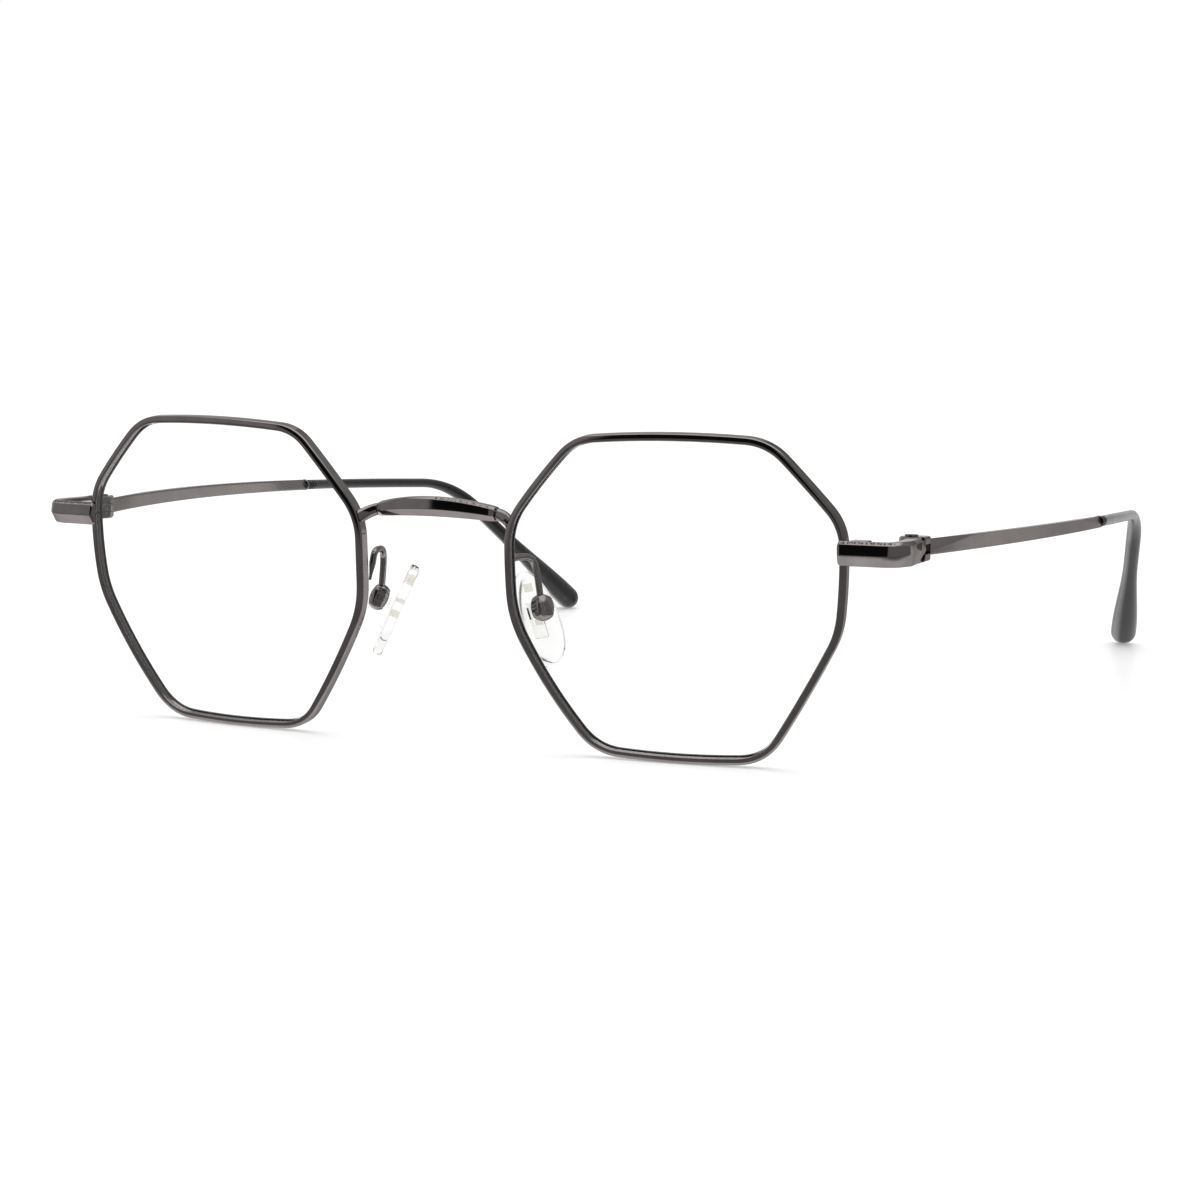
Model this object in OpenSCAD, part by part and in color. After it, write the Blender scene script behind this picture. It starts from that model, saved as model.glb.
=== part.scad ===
// Metal eyeglass frame with eight-sided lenses, adjustable nose pads and folding temples.
// It stands as on a table, on its lower rims and the ends of its tips. X runs to the wearer's
// left, Y back along the temples and Z up. The left half is modelled and mirrored.

/* [Lenses and rims] */
// Boxed width of a lens
lens_w = 45.7; // [42:0.1:50]
// Boxed height of a lens
lens_h = 43.2; // [38:0.1:48]
// Thickness of a lens
lens_t = 1.5; // [1.3:0.05:1.6]
// Distance from the middle of the nose to a lens centre
eye_x = 33.5; // [32:0.5:36]
// Radius of the lenses' front curve
base_r = 95; // [80:1:140]
// Angle by which each lens turns back towards the temple
face_form = 4.7; // [2:0.1:7]
// Lean of the front, top forward
tilt = 6.8; // [4:0.1:9]
// Width of the rim wire, seen from the front
rim_w = 1.0; // [0.9:0.05:1.3]
// Depth of the rim wire, front to back
rim_d = 1.7; // [1.6:0.05:2.2]
// Depth of the lens groove in the rim
groove = 0.4; // [0.3:0.02:0.5]

/* [Bridge] */
// Length of the thick middle of the bridge
bridge_w = 17.6; // [15:0.2:19]
// Height of the bridge at its middle
bridge_h = 2.7; // [2.2:0.1:3.2]
// Height of the bridge at the ends of its middle part
bridge_end_h = 2.0; // [1.7:0.1:2.4]
// Depth of the bridge, front to back
bridge_d = 2.0; // [1.6:0.1:2.6]
// Height of the bridge's middle above the lens centres
bridge_rise = 10.3; // [9.5:0.1:11.5]
// Rise of the bridge's arch
bridge_arch = 0.8; // [0.4:0.1:1.4]
// How far the bridge bows forward
bridge_bow = 1.7; // [1:0.1:2.6]

/* [Endpieces and hinges] */
// Height of the endpieces above the lens centres
end_rise = 5.9; // [5.4:0.1:7]
// Height of an endpiece and its hinge
end_h = 3.3; // [3:0.1:3.8]
// Thickness of an endpiece at its corner
end_t = 2.1; // [1.8:0.1:2.4]
// Distance from the rim out to the hinge pin
pin_out = 5.3; // [5:0.1:7]
// Distance from the rim back to the hinge pin
pin_back = 9.9; // [9:0.1:12]
// Radius of the hinge barrels
barrel_r = 1.7; // [1.5:0.05:1.9]
// Height of the middle knuckle
knuckle_h = 1.15; // [1:0.05:1.3]
// Radius of the hinge screw's shank
hinge_screw_r = 0.65; // [0.5:0.05:0.7]
// Radius of the rim lock's screw
lock_screw_r = 0.5; // [0.4:0.05:0.6]
// Height of the two halves of the rim lock together
lock_h = 3.8; // [3.6:0.1:4.4]

/* [Temples] */
// Distance from the hinge pin back to the bend over the ear
bend_back = 118; // [105:0.5:122]
// Distance from the hinge pin out to the bend
bend_out = 2.1; // [0:0.1:4]
// Length of a tip behind the bend
tip_len = 44.4; // [38:0.2:48]
// Fall of a tip behind the bend, in degrees
tip_fall = 35; // [30:0.2:42]
// Turn of a tip towards the head, in degrees
tip_turn = 15.6; // [8:0.2:20]
// Height of a temple bar at the hinge
bar_h = 2.15; // [1.9:0.05:2.6]
// Height of a temple bar where it enters the tip
bar_end_h = 1.75; // [1.65:0.05:2.1]
// Thickness of a temple bar
bar_t = 1.2; // [1:0.1:1.4]
// Radius of the wire inside a tip
core_r = 0.42; // [0.35:0.01:0.45]
// Length of a temple tip along the bar, before the bend
tip_lead = 46.5; // [36:0.5:50]
// Width of a tip's neck
tip_neck_w = 2.5; // [2:0.1:2.8]
// Width of a tip near its end
tip_end_w = 4.5; // [3.6:0.1:5]

/* [Nose pads] */
// Length of a nose pad
pad_len = 13.8; // [12:0.2:15]
// Width of a nose pad
pad_w = 7.6; // [6.6:0.2:8.4]
// Thickness of a nose pad
pad_t = 1.5; // [1.3:0.1:1.8]
// Length of a pad box
box_len = 3.6; // [3.4:0.1:4.3]
// Width of a pad box
box_w = 3.0; // [2.8:0.1:3.6]
// Depth of a pad box
box_d = 2.6; // [2.5:0.1:3]
// Radius of the screw in a pad box
pad_screw_r = 0.45; // [0.4:0.05:0.5]
// Radius of a pad arm's wire
arm_r = 0.38; // [0.32:0.02:0.44]
// Height of a pad arm's foot, below the lens centre
arm_foot = 0.8; // [0:0.1:2]
// How far a pad arm arches above its foot
arm_arch = 4.3; // [3.8:0.1:5.4]

/* [Fits] */
// Clearance between a lens and the bottom of its groove
lens_fit = 0.05; // [0.03:0.01:0.1]
// Clearance of a turning screw in its bore
turn_fit = 0.05; // [0.03:0.01:0.08]
// Clearance of a fixed screw in its bore
seat_fit = 0.03; // [0.02:0.01:0.05]
// Clearance between faces that turn on each other
face_fit = 0.08; // [0.05:0.01:0.12]
// Clearance between soldered pieces
solder_fit = 0.04; // [0.02:0.01:0.06]

/* [Hidden] */
$fn = 32;
gunmetal = [0.34, 0.33, 0.33];
tip_grey = [0.23, 0.23, 0.23];
clear = [0.93, 0.95, 0.95, 0.5];

// Small geometry helpers
function unit(v) = v / norm(v);
function reverse(v) = [for (i = [len(v) - 1:-1:0]) v[i]];
function bezier2(a, b, c, t) = a * (1 - t) ^ 2 + b * 2 * t * (1 - t) + c * t ^ 2;
function bezier3(a, b, c, d, t) =
  a * (1 - t) ^ 3 + b * 3 * t * (1 - t) ^ 2 + c * 3 * t ^ 2 * (1 - t) + d * t ^ 3;
function smooth(t) = let (c = min(1, max(0, t))) c * c * (3 - 2 * c);
function ellipse(rx, ry, n) = [for (k = [0:n - 1]) [rx * cos(360 * k / n), ry * sin(360 * k / n)]];

// Closed skin over rings of points. Rings run anticlockwise about the way they follow each
// other. Ends close flat, or to the points in tips.
module skin(rings, tips = []) {
  n = len(rings);
  m = len(rings[0]);
  walls = [for (i = [0:n - 2], j = [0:m - 1])
    let (a = i * m + j, b = i * m + (j + 1) % m, c = b + m, d = a + m) each [[a, c, b], [a, d, c]]];
  start = len(tips) > 0 ? [for (j = [0:m - 1]) [j, (j + 1) % m, n * m]] : [[for (j = [0:m - 1]) j]];
  finish = len(tips) > 1
    ? [for (j = [0:m - 1]) [(n - 1) * m + (j + 1) % m, (n - 1) * m + j, n * m + 1]]
    : [[for (j = [m - 1:-1:0]) (n - 1) * m + j]];
  polyhedron([for (r = rings) each r, each tips], concat(walls, start, finish));
}

// Rings of a section carried along a path. The section's first axis points to the left of the
// path, seen from above, and its second axis up.
function path_way(path, i) = unit(path[min(len(path) - 1, i + 1)] - path[max(0, i - 1)]);
function path_ring(p, way, section) =
  let (side = unit(cross([0, 0, 1], way)), up = cross(way, side))
  [for (q = section) p + side * q.x + up * q.y];

// Lens shape, seen from the front with the nose on the left. Each corner has its place, the
// distance at which its sides start to turn, and the bow of the side that follows it.
eye_corners = [
  [-12.2, 19.9, 2.5, 0.7], [14.2, 20.0, 2.9, 0.2], [23.8, 9.3, 2.7, 0.35], [23.1, -4.9, 2.3, 0.3],
  [12.6, -22.6, 3.5, 0.4], [-10.8, -22.4, 3.2, 0.65], [-21.9, -4.3, 3.0, 0.15], [-22.0, 8.3, 2.9, 0.3]];
corner_steps = 4;
side_steps = 3;
function eye_corner(i) = eye_corners[(i + 8) % 8];
function side_length(i) = let (d = eye_corner(i + 1) - eye_corner(i)) norm([d.x, d.y]);
function side_point(i, t) =
  let (a = eye_corner(i), b = eye_corner(i + 1), d = [b.x - a.x, b.y - a.y])
  [a.x, a.y] + d * t + [-d.y, d.x] / norm(d) * a[3] * 4 * t * (1 - t);
function turn_in(i) = eye_corner(i)[2] / side_length(i);
function turn_out(i) = 1 - eye_corner(i + 1)[2] / side_length(i);
eye_raw = [for (i = [0:7]) each concat(
  [for (k = [0:corner_steps - 1]) let (c = eye_corner(i))
    bezier2(side_point(i - 1 < 0 ? 7 : i - 1, turn_out(i - 1 < 0 ? 7 : i - 1)), [c.x, c.y],
      side_point(i, turn_in(i)), k / corner_steps)],
  [for (k = [0:side_steps - 1])
    side_point(i, turn_in(i) + (turn_out(i) - turn_in(i)) * k / side_steps)])];
raw_w = max([for (p = eye_raw) p.x]) - min([for (p = eye_raw) p.x]);
raw_h = max([for (p = eye_raw) p.y]) - min([for (p = eye_raw) p.y]);
eye = [for (p = eye_raw) [p.x * lens_w / raw_w, p.y * lens_h / raw_h]];
eye_n = len(eye);

// Outline moved outwards by a distance
function outward(before, after) = let (d = after - before) unit([-d.y, d.x]);
function eye_offset(a) = [for (i = [0:eye_n - 1])
  eye[i] + a * outward(eye[(i + eye_n - 1) % eye_n], eye[(i + 1) % eye_n])];

// Place of a point on the curved front: across, up and back from the lens's middle surface
function sag(u, v) = base_r - sqrt(base_r ^ 2 - u ^ 2 - v ^ 2);
function on_front(u, v, back) = let (w = sag(u, v) + back)
  [eye_x + u * cos(face_form) - w * sin(face_form), u * sin(face_form) + w * cos(face_form), v];
function lean(p) = [p.x, p.y * cos(tilt) - p.z * sin(tilt), p.y * sin(tilt) + p.z * cos(tilt)];

// The rims stand on the table, which sets the height of the lens centres
rim_out = rim_w / 2 - groove + lens_fit;
rim_line = eye_offset(rim_out);
rim_foot = min([for (p = eye_offset(rim_out + rim_w / 2), b = [-rim_d / 2, rim_d / 2])
  lean(on_front(p.x, p.y, b)).z]);
lens_z = -rim_foot;
function placed(u, v, back) = lean(on_front(u, v, back)) + [0, 0, lens_z];

// Where the rim crosses a height, on the temple side (side = 1) or the nose side (side = -1)
function crossing(line, v, side) = side * max([for (i = [0:len(line) - 1])
  let (a = line[i], b = line[(i + 1) % len(line)])
  if ((a.y - v) * (b.y - v) <= 0 && a.y != b.y) side * (a.x + (b.x - a.x) * (v - a.y) / (b.y - a.y))]);

// Hinge pin and the endpiece's front line, placed from the rim
end_u = crossing(rim_line, end_rise, 1);
end_rim = placed(end_u, end_rise, 0);
end_z = end_rim.z;
pin = [end_rim.x + rim_w / 2 + pin_out, end_rim.y + pin_back, end_z];
front_wall = 1.0;
front_gap = 0.25;
front_y = end_rim.y - rim_d / 2 - front_wall - front_gap;
end_in = 0.4;
end_straight = 4.6;
end_sweep = 0.5;
corner_out = 1.1;
corner_depth = 5.1;
mitre_back = 2.5;
corner_x = pin.x + barrel_r + corner_out;
end_turn = [end_rim.x + end_straight, front_y + end_sweep, end_z];
end_line = concat([[end_rim.x - end_in, front_y, end_z], end_turn],
  [for (k = [1:8]) bezier2(end_turn, [corner_x, front_y + 2 * end_sweep, end_z],
    [corner_x, front_y + corner_depth, end_z], k / 8)],
  [[pin.x + barrel_r, pin.y - mitre_back, end_z]]);

// Temple line: a bowed bar, a bend over the ear and a straight tip. The tip's end stands on
// the table, which sets the height of the bend.
splay = 14;
close_in = 7.5;
bar_fall = 3;
bar_start = 3.7;
bar_side = 0.8;
bar_reach = 40;
bend_reach = 35;
bend_cut = 9;
tip_flat = 0.94;
tip_round = 2.6;
function heading(turn, fall) = [-sin(turn) * cos(fall), cos(turn) * cos(fall), -sin(fall)];
tip_way = heading(tip_turn, tip_fall);
end_fall = tip_round * sin(tip_fall);
end_drop = tip_flat * tip_end_w / 2 * cos(tip_fall);
bend_z = tip_len * sin(tip_fall) - end_fall + norm([end_fall, end_drop]);
bend = [pin.x + bend_out, pin.y + bend_back, bend_z];
bar_way = heading(-splay, 0);
bend_way = heading(close_in, bar_fall);
bar_a = [pin.x + bar_side, pin.y + bar_start + solder_fit, end_z];
bend_a = bend - bend_cut * bend_way;
bend_b = bend + bend_cut * tip_way;
bar_steps = 12;
bar_line = [for (k = [0:bar_steps])
  bezier3(bar_a, bar_a + bar_reach * bar_way, bend_a - bend_reach * bend_way, bend_a, k / bar_steps)];
bend_line = [for (k = [1:6]) bezier2(bend_a, bend, bend_b, k / 6)];
tip_line = [for (s = [0.3, 0.42, 0.53, 0.64, 0.75, 0.86]) bend + tip_way * tip_len * s];
temple_line = concat(bar_line, bend_line, tip_line);

// Distance along the temple line up to each of its points
function run_to(path, i) = i == 0 ? 0 : norm(path[i] - path[i - 1]) + run_to(path, i - 1);
run = [for (i = [0:len(temple_line) - 1]) run_to(temple_line, i)];
bend_run = run[bar_steps] + bend_cut;
bar_run = bend_run - tip_lead;
join = len([for (r = run) if (r < bar_run) r]);
join_t = (bar_run - run[join - 1]) / (run[join] - run[join - 1]);
join_point = temple_line[join - 1] + (temple_line[join] - temple_line[join - 1]) * join_t;
join_way = unit(temple_line[join] - temple_line[join - 1]);

// Flat bar with its edges broken, as an eight-sided section
function bar_section(t, h) = let (c = t * 0.3, x = t / 2, y = h / 2)
  [[x, -y + c], [x, y - c], [x - c, y], [-x + c, y], [-x, y - c], [-x, -y + c], [-x + c, -y], [x - c, -y]];
function core_section(r) = [for (k = [0:7]) r * [cos(45 * k - 22.5), sin(45 * k - 22.5)]];

// Front section of the rim, with the lens groove on its inner side
rim_edge = 0.28;
groove_w = 0.95;
function rim_section() = let (x = rim_w / 2, y = rim_d / 2, e = rim_edge, g = groove_w / 2)
  [[-x, -g], [-x + groove, 0], [-x, g], [-x, y - e], [-x + e, y], [x - e, y], [x, y - e],
   [x, -y + e], [x - e, -y], [-x + e, -y], [-x, -y + e]];

// Outline of the rim from just under its split round to just above it
split_gap = 0.16;
split_i = [for (i = [0:eye_n - 1])
  if (rim_line[i].x > 0 && rim_line[i].y >= end_rise && rim_line[(i + 1) % eye_n].y < end_rise) i][0];
split_at = [end_u, end_rise];
split_way = unit(rim_line[(split_i + 1) % eye_n] - rim_line[split_i]);
rim_path = concat([split_at + split_way * split_gap / 2],
  [for (j = [1:eye_n]) let (p = rim_line[(split_i + j) % eye_n]) if (norm(p - split_at) > split_gap) p],
  [split_at - split_way * split_gap / 2]);

module rim() {
  last = len(rim_path) - 1;
  section = rim_section();
  color(gunmetal) skin([for (i = [0:last])
    let (n = outward(rim_path[max(0, i - 1)], rim_path[min(last, i + 1)]))
    [for (q = section) placed(rim_path[i].x + n.x * q.x, rim_path[i].y + n.y * q.x, q.y)]]);
}

// Bevelled lens: domed front, edge with a bevel that sits in the groove, hollow back
bevel_w = 0.75;
lens_reveal = 0.05;
lens_edge = lens_fit - groove - lens_reveal;
function lens_ring(a, share, back) = [for (p = eye_offset(a)) placed(p.x * share, p.y * share, back)];
lens_shares = [0.35, 0.7, 1];

module lens() {
  y = lens_t / 2;
  g = bevel_w / 2;
  color(clear) skin(concat(
    [for (s = lens_shares) lens_ring(lens_edge, s, -y)],
    [lens_ring(lens_edge, 1, -g), lens_ring(0, 1, 0), lens_ring(lens_edge, 1, g)],
    [for (s = reverse(lens_shares)) lens_ring(lens_edge, s, y)]),
    [placed(0, 0, -y), placed(0, 0, y)]);
}

// Endpiece section: an upper and a lower facet meet in a ridge on the front, and the top edge
// is bevelled. The first value is the thickness behind the ridge.
ridge_drop = 0.2;
facet_back = 0.45;
edge_back = 0.25;
top_back = 0.7;
function end_section(t, h) = let (bevel = top_back - edge_back)
  [[0, -ridge_drop], [facet_back, -h / 2], [t, -h / 2], [t, h / 2], [top_back, h / 2],
   [edge_back, h / 2 - bevel]];
end_walls = [for (i = [0:len(end_line) - 1])
  i < 2 ? front_wall : front_wall + (end_t - front_wall) * smooth((i - 1) / 5)];

module endpiece() {
  color(gunmetal) skin([for (i = [0:len(end_line) - 1])
    path_ring(end_line[i], path_way(end_line, i), end_section(end_walls[i], end_h))]);
}

// Rim lock: two blocks on the rim's split ends, behind the endpiece, drawn together by a screw
lock_w = 2.3;
lock_d = 2.9;
lock_gap = 0.1 + solder_fit;
lock_x = end_rim.x + rim_w / 2 + lock_gap;
lock_y = front_y + front_wall + end_sweep / 2 + lock_gap;
lock_axis = [lock_x + lock_w / 2, lock_y + lock_d / 2, end_rim.z];
lock_head_r = lock_screw_r + 0.3;
lock_head_h = 0.5;
lock_cap = 0.4;
slot_w = 0.2;
slot_depth = 0.2;

module lock_block(low, high) {
  translate([lock_x, lock_y, end_rim.z + low]) cube([lock_w, lock_d, high - low]);
}

module rim_lock_upper() {
  color(gunmetal) difference() {
    lock_block(split_gap / 2, lock_h / 2);
    translate(lock_axis) cylinder(r = lock_screw_r + seat_fit, h = lock_h / 2 - lock_cap);
  }
}

module rim_lock_lower() {
  color(gunmetal) difference() {
    lock_block(-lock_h / 2, -split_gap / 2);
    translate(lock_axis - [0, 0, lock_h]) cylinder(r = lock_screw_r + seat_fit, h = 2 * lock_h);
    translate(lock_axis - [0, 0, lock_h / 2 + 1])
      cylinder(r = lock_head_r + seat_fit, h = 1 + lock_head_h);
  }
}

module rim_lock_screw() {
  color(gunmetal) translate(lock_axis - [0, 0, lock_h / 2]) difference() {
    union() {
      cylinder(r = lock_head_r, h = lock_head_h - seat_fit);
      cylinder(r = lock_screw_r, h = lock_h - lock_cap - seat_fit);
    }
    translate([-lock_head_r - 1, -slot_w / 2, slot_depth - 1]) cube([2 * lock_head_r + 2, slot_w, 1]);
  }
}

// Hinge: a middle knuckle on the endpiece, between two ears on the temple
ear_low = knuckle_h / 2 + face_fit;
ear_reach = mitre_back - face_fit - 0.25;
ear_in = 0.7 * barrel_r;
block_y = barrel_r + 0.15;
leaf_in = 0.1;

module front_hinge() {
  reach = mitre_back - solder_fit;
  color(gunmetal) translate(pin - [0, 0, knuckle_h / 2]) difference() {
    union() {
      cylinder(r = barrel_r, h = knuckle_h);
      translate([leaf_in, -reach, 0]) cube([barrel_r - leaf_in, reach, knuckle_h]);
    }
    translate([0, 0, -1]) cylinder(r = hinge_screw_r + turn_fit, h = knuckle_h + 2);
  }
}

screw_head_r = hinge_screw_r + 0.22;
head_seat = 0.25;
head_h = 0.45;
head_slot_w = 0.24;

module hinge_ear() {
  linear_extrude(end_h / 2 - ear_low) {
    circle(r = barrel_r);
    translate([0, -ear_reach]) square([barrel_r, ear_reach + 1]);
    translate([-ear_in, 0]) square([barrel_r + ear_in, bar_start]);
  }
}

module temple_hinge() {
  color(gunmetal) translate(pin) difference() {
    union() {
      translate([0, 0, ear_low]) hinge_ear();
      translate([0, 0, -end_h / 2]) hinge_ear();
      translate([-ear_in, block_y, -end_h / 2])
        cube([barrel_r + ear_in, bar_start - block_y, end_h]);
    }
    translate([0, 0, -end_h]) cylinder(r = hinge_screw_r + seat_fit, h = 2 * end_h);
    translate([0, 0, end_h / 2 - head_seat]) cylinder(r = screw_head_r + seat_fit, h = 1);
  }
}

module hinge_screw() {
  color(gunmetal) translate(pin) difference() {
    union() {
      translate([0, 0, -end_h / 2]) cylinder(r = hinge_screw_r, h = end_h);
      translate([0, 0, end_h / 2 - head_seat + seat_fit]) cylinder(r = screw_head_r, h = head_h);
    }
    translate([-2, -head_slot_w / 2, end_h / 2 - head_seat + head_h - slot_depth]) cube([4, head_slot_w, 1]);
  }
}

// Temple: flat bar that narrows to the tip, then a round wire inside the tip
core_end = 4;
core_gap = 0.12;
core_play = 0.3;
drill_point = 0.1;
shoulder_step = 0.02;
core_last = len(temple_line) - core_end;

module temple() {
  bars = [for (i = [0:join - 1]) let (s = run[i] / bar_run)
    path_ring(temple_line[i], path_way(temple_line, i), bar_section(bar_t, bar_h + (bar_end_h - bar_h) * s))];
  shoulder = path_ring(join_point, join_way, bar_section(bar_t, bar_end_h));
  neck = path_ring(join_point + join_way * shoulder_step, join_way, core_section(core_r));
  cores = [for (i = [join:core_last])
    path_ring(temple_line[i], path_way(temple_line, i), core_section(core_r))];
  start = path_ring(temple_line[0], [0, 1, 0], bar_section(bar_t, bar_h));
  color(gunmetal) skin(concat([start], [for (i = [1:join - 1]) bars[i]], [shoulder, neck], cores));
}

// Tip ring: thin ferrule between the bar's shoulder and the tip
ring_len = 0.8;
ring_lip = 0.06;
tip_sides = 12;
core_hole = ellipse(core_r + core_gap, core_r + core_gap, tip_sides);
ring_from = join_point + join_way * (shoulder_step + solder_fit);
ring_to = ring_from + join_way * ring_len;

module tip_ring() {
  outer = ellipse(bar_end_h / 2 + ring_lip, bar_end_h / 2 + ring_lip, tip_sides);
  color(gunmetal) difference() {
    skin([path_ring(ring_from, join_way, outer), path_ring(ring_to, join_way, outer)]);
    skin([path_ring(ring_from - join_way, join_way, core_hole),
      path_ring(ring_to + join_way, join_way, core_hole)]);
  }
}

// Temple tip: sleeve over the wire, slim over the ear and round and full at its end
tip_start_w = bar_end_h;
neck_run = 8;
swell_from = 0.38;
swell_to = 0.92;
function tip_width(d) = tip_start_w + (tip_neck_w - tip_start_w) * smooth((d + neck_run) / (2 * neck_run))
  + (tip_end_w - tip_neck_w) * smooth((d / tip_len - swell_from) / (swell_to - swell_from));
function tip_ellipse(w) = ellipse(w / 2, tip_flat * w / 2, tip_sides);
tip_end = bend + tip_way * tip_len;

module temple_tip() {
  mouth = ring_to + join_way * solder_fit;
  inner = [for (i = [core_last:-1:join]) path_ring(temple_line[i], path_way(temple_line, i), core_hole)];
  outer = [for (i = [join:len(temple_line) - 1])
    path_ring(temple_line[i], path_way(temple_line, i), tip_ellipse(tip_width(run[i] - bend_run)))];
  rounded = [for (a = [0:22.5:67.5])
    path_ring(tip_end - tip_way * tip_round * (1 - sin(a)), tip_way, tip_ellipse(tip_end_w * cos(a)))];
  core_way = path_way(temple_line, core_last);
  core_stop = temple_line[core_last] + core_way * core_play;
  color(tip_grey) skin(concat([path_ring(core_stop, core_way, core_hole)], inner,
    [path_ring(mouth, join_way, core_hole), path_ring(mouth, join_way, tip_ellipse(tip_start_w))],
    outer, rounded), [core_stop + core_way * drill_point, tip_end]);
}

// Nose pad assembly, built about the middle of its box: X away from the nose, Y across the pad
// and Z along it
pad_in = 20.9;
pad_back = 8.2;
pad_drop = 3.6;
pad_at = [eye_x - pad_in, pad_back, lens_z - pad_drop];
pad_turn = [-7, -23.6, -26];
pad_roll = 10;
pad_shift = [0, 0.9, -0.7];
rock_gap = 0.3;
mouth_w = 1.3;
mouth_wall = 0.5;
mouth_len = box_len - 2 * mouth_wall;
mouth_floor = 0.4;
box_round = 0.84;
stem_w = mouth_w - 2 * face_fit;
stem_r = 0.8;
stem_base = [0.5, 2.2, 5.2];
stem_drop = 1.2;
pad_gap = rock_gap + stem_base.x;
screw_inset = 0.05;

module pad_place() {
  translate(pad_at) rotate(pad_turn) children();
}

module pad_box() {
  color(gunmetal) pad_place() difference() {
    intersection() {
      cube([box_d, box_w, box_len], center = true);
      sphere(r = box_round * norm([box_d, box_w, box_len]) / 2, $fn = 48);
    }
    translate([-box_d, -mouth_w / 2, -mouth_len / 2])
      cube([1.5 * box_d - mouth_floor, mouth_w, mouth_len]);
    rotate([90, 0, 0]) cylinder(r = pad_screw_r + seat_fit, h = 2 * box_w, center = true);
  }
}

module pad_screw() {
  color(gunmetal) pad_place() difference() {
    rotate([90, 0, 0]) cylinder(r = pad_screw_r, h = box_w - 2 * screw_inset, center = true);
    translate([-1, -box_w / 2, -slot_w / 2]) cube([2, screw_inset + slot_depth, slot_w]);
  }
}

module pad_stem() {
  reach = box_d / 2 + rock_gap;
  color(clear) pad_place() difference() {
    union() {
      rotate([90, 0, 0]) cylinder(r = stem_r, h = stem_w, center = true);
      translate([-reach, -stem_w / 2, -stem_r]) cube([reach, stem_w, 2 * stem_r]);
      rotate([pad_roll, 0, 0])
        translate([-reach - stem_base.x, -stem_base.y / 2, -stem_base.z / 2 - stem_drop]) cube(stem_base);
    }
    rotate([90, 0, 0]) cylinder(r = pad_screw_r + turn_fit, h = 2 * box_w, center = true);
  }
}

pad_sides = 20;
pad_taper = 0.16;
pad_square = 0.9;
// Inset of the pad's outline and how far it lies from the back or from the face
pad_back_rounds = [[0.35, 0], [0.05, 0.3], [0, 0.6]];
pad_face_rounds = [[0.3, 0.45], [1.2, 0.12]];
function pad_outline(inset, x) = [for (k = [0:pad_sides - 1]) let (a = 360 * k / pad_sides,
    l = pad_len / 2 - inset, w = pad_w / 2 - inset)
  [x, w * sin(a) * (1 - pad_taper * cos(a)), l * sign(cos(a)) * abs(cos(a)) ^ pad_square]];

module nose_pad() {
  back = -box_d / 2 - pad_gap - solder_fit;
  face = back - pad_t;
  color(clear) pad_place() translate(pad_shift) rotate([pad_roll, 0, 0])
    skin(concat([for (r = pad_back_rounds) pad_outline(r[0], back - r[1])],
      [for (r = pad_face_rounds) pad_outline(r[0], face + r[1])]), [[back, 0, 0], [face, 0, 0]]);
}

// Pad arm: a wire hooked up and over from the back of the rim to the top of the pad box
arm_inset = 0.35;
arm_u = crossing(rim_line, -arm_foot, -1);
arm_start = placed(arm_u - arm_inset, -arm_foot, rim_d / 2 + arm_r + solder_fit);
arm_seat = [-0.35, 0, 0.25];
box_top = pad_at + [0, 0, box_len / 2] + arm_seat;
arm_lift = arm_arch * 4 / 3;
arm_rise = [-0.6, 0.1, arm_lift - 1.4];
arm_fall = [-1.0, -0.4, arm_lift];
arm_steps = 14;
arm_line = [for (k = [0:arm_steps])
  bezier3(arm_start, arm_start + arm_rise, box_top + arm_fall, box_top, k / arm_steps)];

module pad_arm() {
  color(gunmetal) skin([for (i = [0:len(arm_line) - 1])
    let (way = path_way(arm_line, i), up = unit(cross(way, [1, 0, 0])), out = cross(up, way))
    [for (q = ellipse(arm_r, arm_r, 8)) arm_line[i] + out * q.x + up * q.y]]);
}

// Bridge: an arched bar with a ridge on its front, and a slimmer neck soldered to each rim
bridge_z = lens_z + bridge_rise * cos(tilt);
bridge_y = -0.4;
neck_h = 1.65;
neck_d = 1.3;
neck_drop = 1.0;
neck_gap = 0.2;
neck_curve = 1.5;
notch_d = 1.1;
notch_h = 0.86 * neck_h;
step = 0.01;
half_bar = bridge_w / 2;
function bow(x) = 1 - (x / half_bar) ^ 2;

// Section from the ridge on the front, under and round the back to the bevelled top edge
back_round = 0.2;
top_bevel = [0.4, 0.35];
function bridge_section(d, h) = let (x = d / 2, y = h / 2, r = back_round, b = top_bevel)
  [[-x, -0.14 * h], [-x + 0.175 * d, -y], [x - r, -y], [x, -y + r], [x, y - r], [x - r, y],
   [-x + r + b.x, y], [-x + r, y - b.y]];
function bar_ring(x) = [for (q = bridge_section(bridge_d, bridge_end_h + (bridge_h - bridge_end_h) * bow(x)))
  [x, bridge_y + bridge_bow * (1 - bow(x)) + q.x, bridge_z - bridge_arch * (1 - bow(x)) + q.y]];
neck_y = bridge_y + bridge_bow;
neck_z = bridge_z - bridge_arch;
nose_face = eye_offset(rim_out + rim_w / 2 + 2 * solder_fit);
function rim_face(z, back) = let (v0 = (z - lens_z) / cos(tilt),
    v = v0 - on_front(crossing(nose_face, v0, -1), v0, back).y * tan(tilt))
  placed(crossing(nose_face, v, -1), v, back);
neck_end_y = rim_face(neck_z - neck_drop, 0).y;
function neck_ring(s, side) = [for (q = bridge_section(neck_d, neck_h))
  let (z = neck_z - neck_drop * s ^ neck_curve + q.y, x0 = half_bar + step)
  [side * (x0 + (rim_face(z, q.x).x - x0) * s), neck_y + (neck_end_y - neck_y) * s + q.x, z]];
function notch_ring(x) = [for (q = bridge_section(notch_d, notch_h)) [x, neck_y + q.x, neck_z + q.y]];
bar_half_rings = 7;
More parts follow.
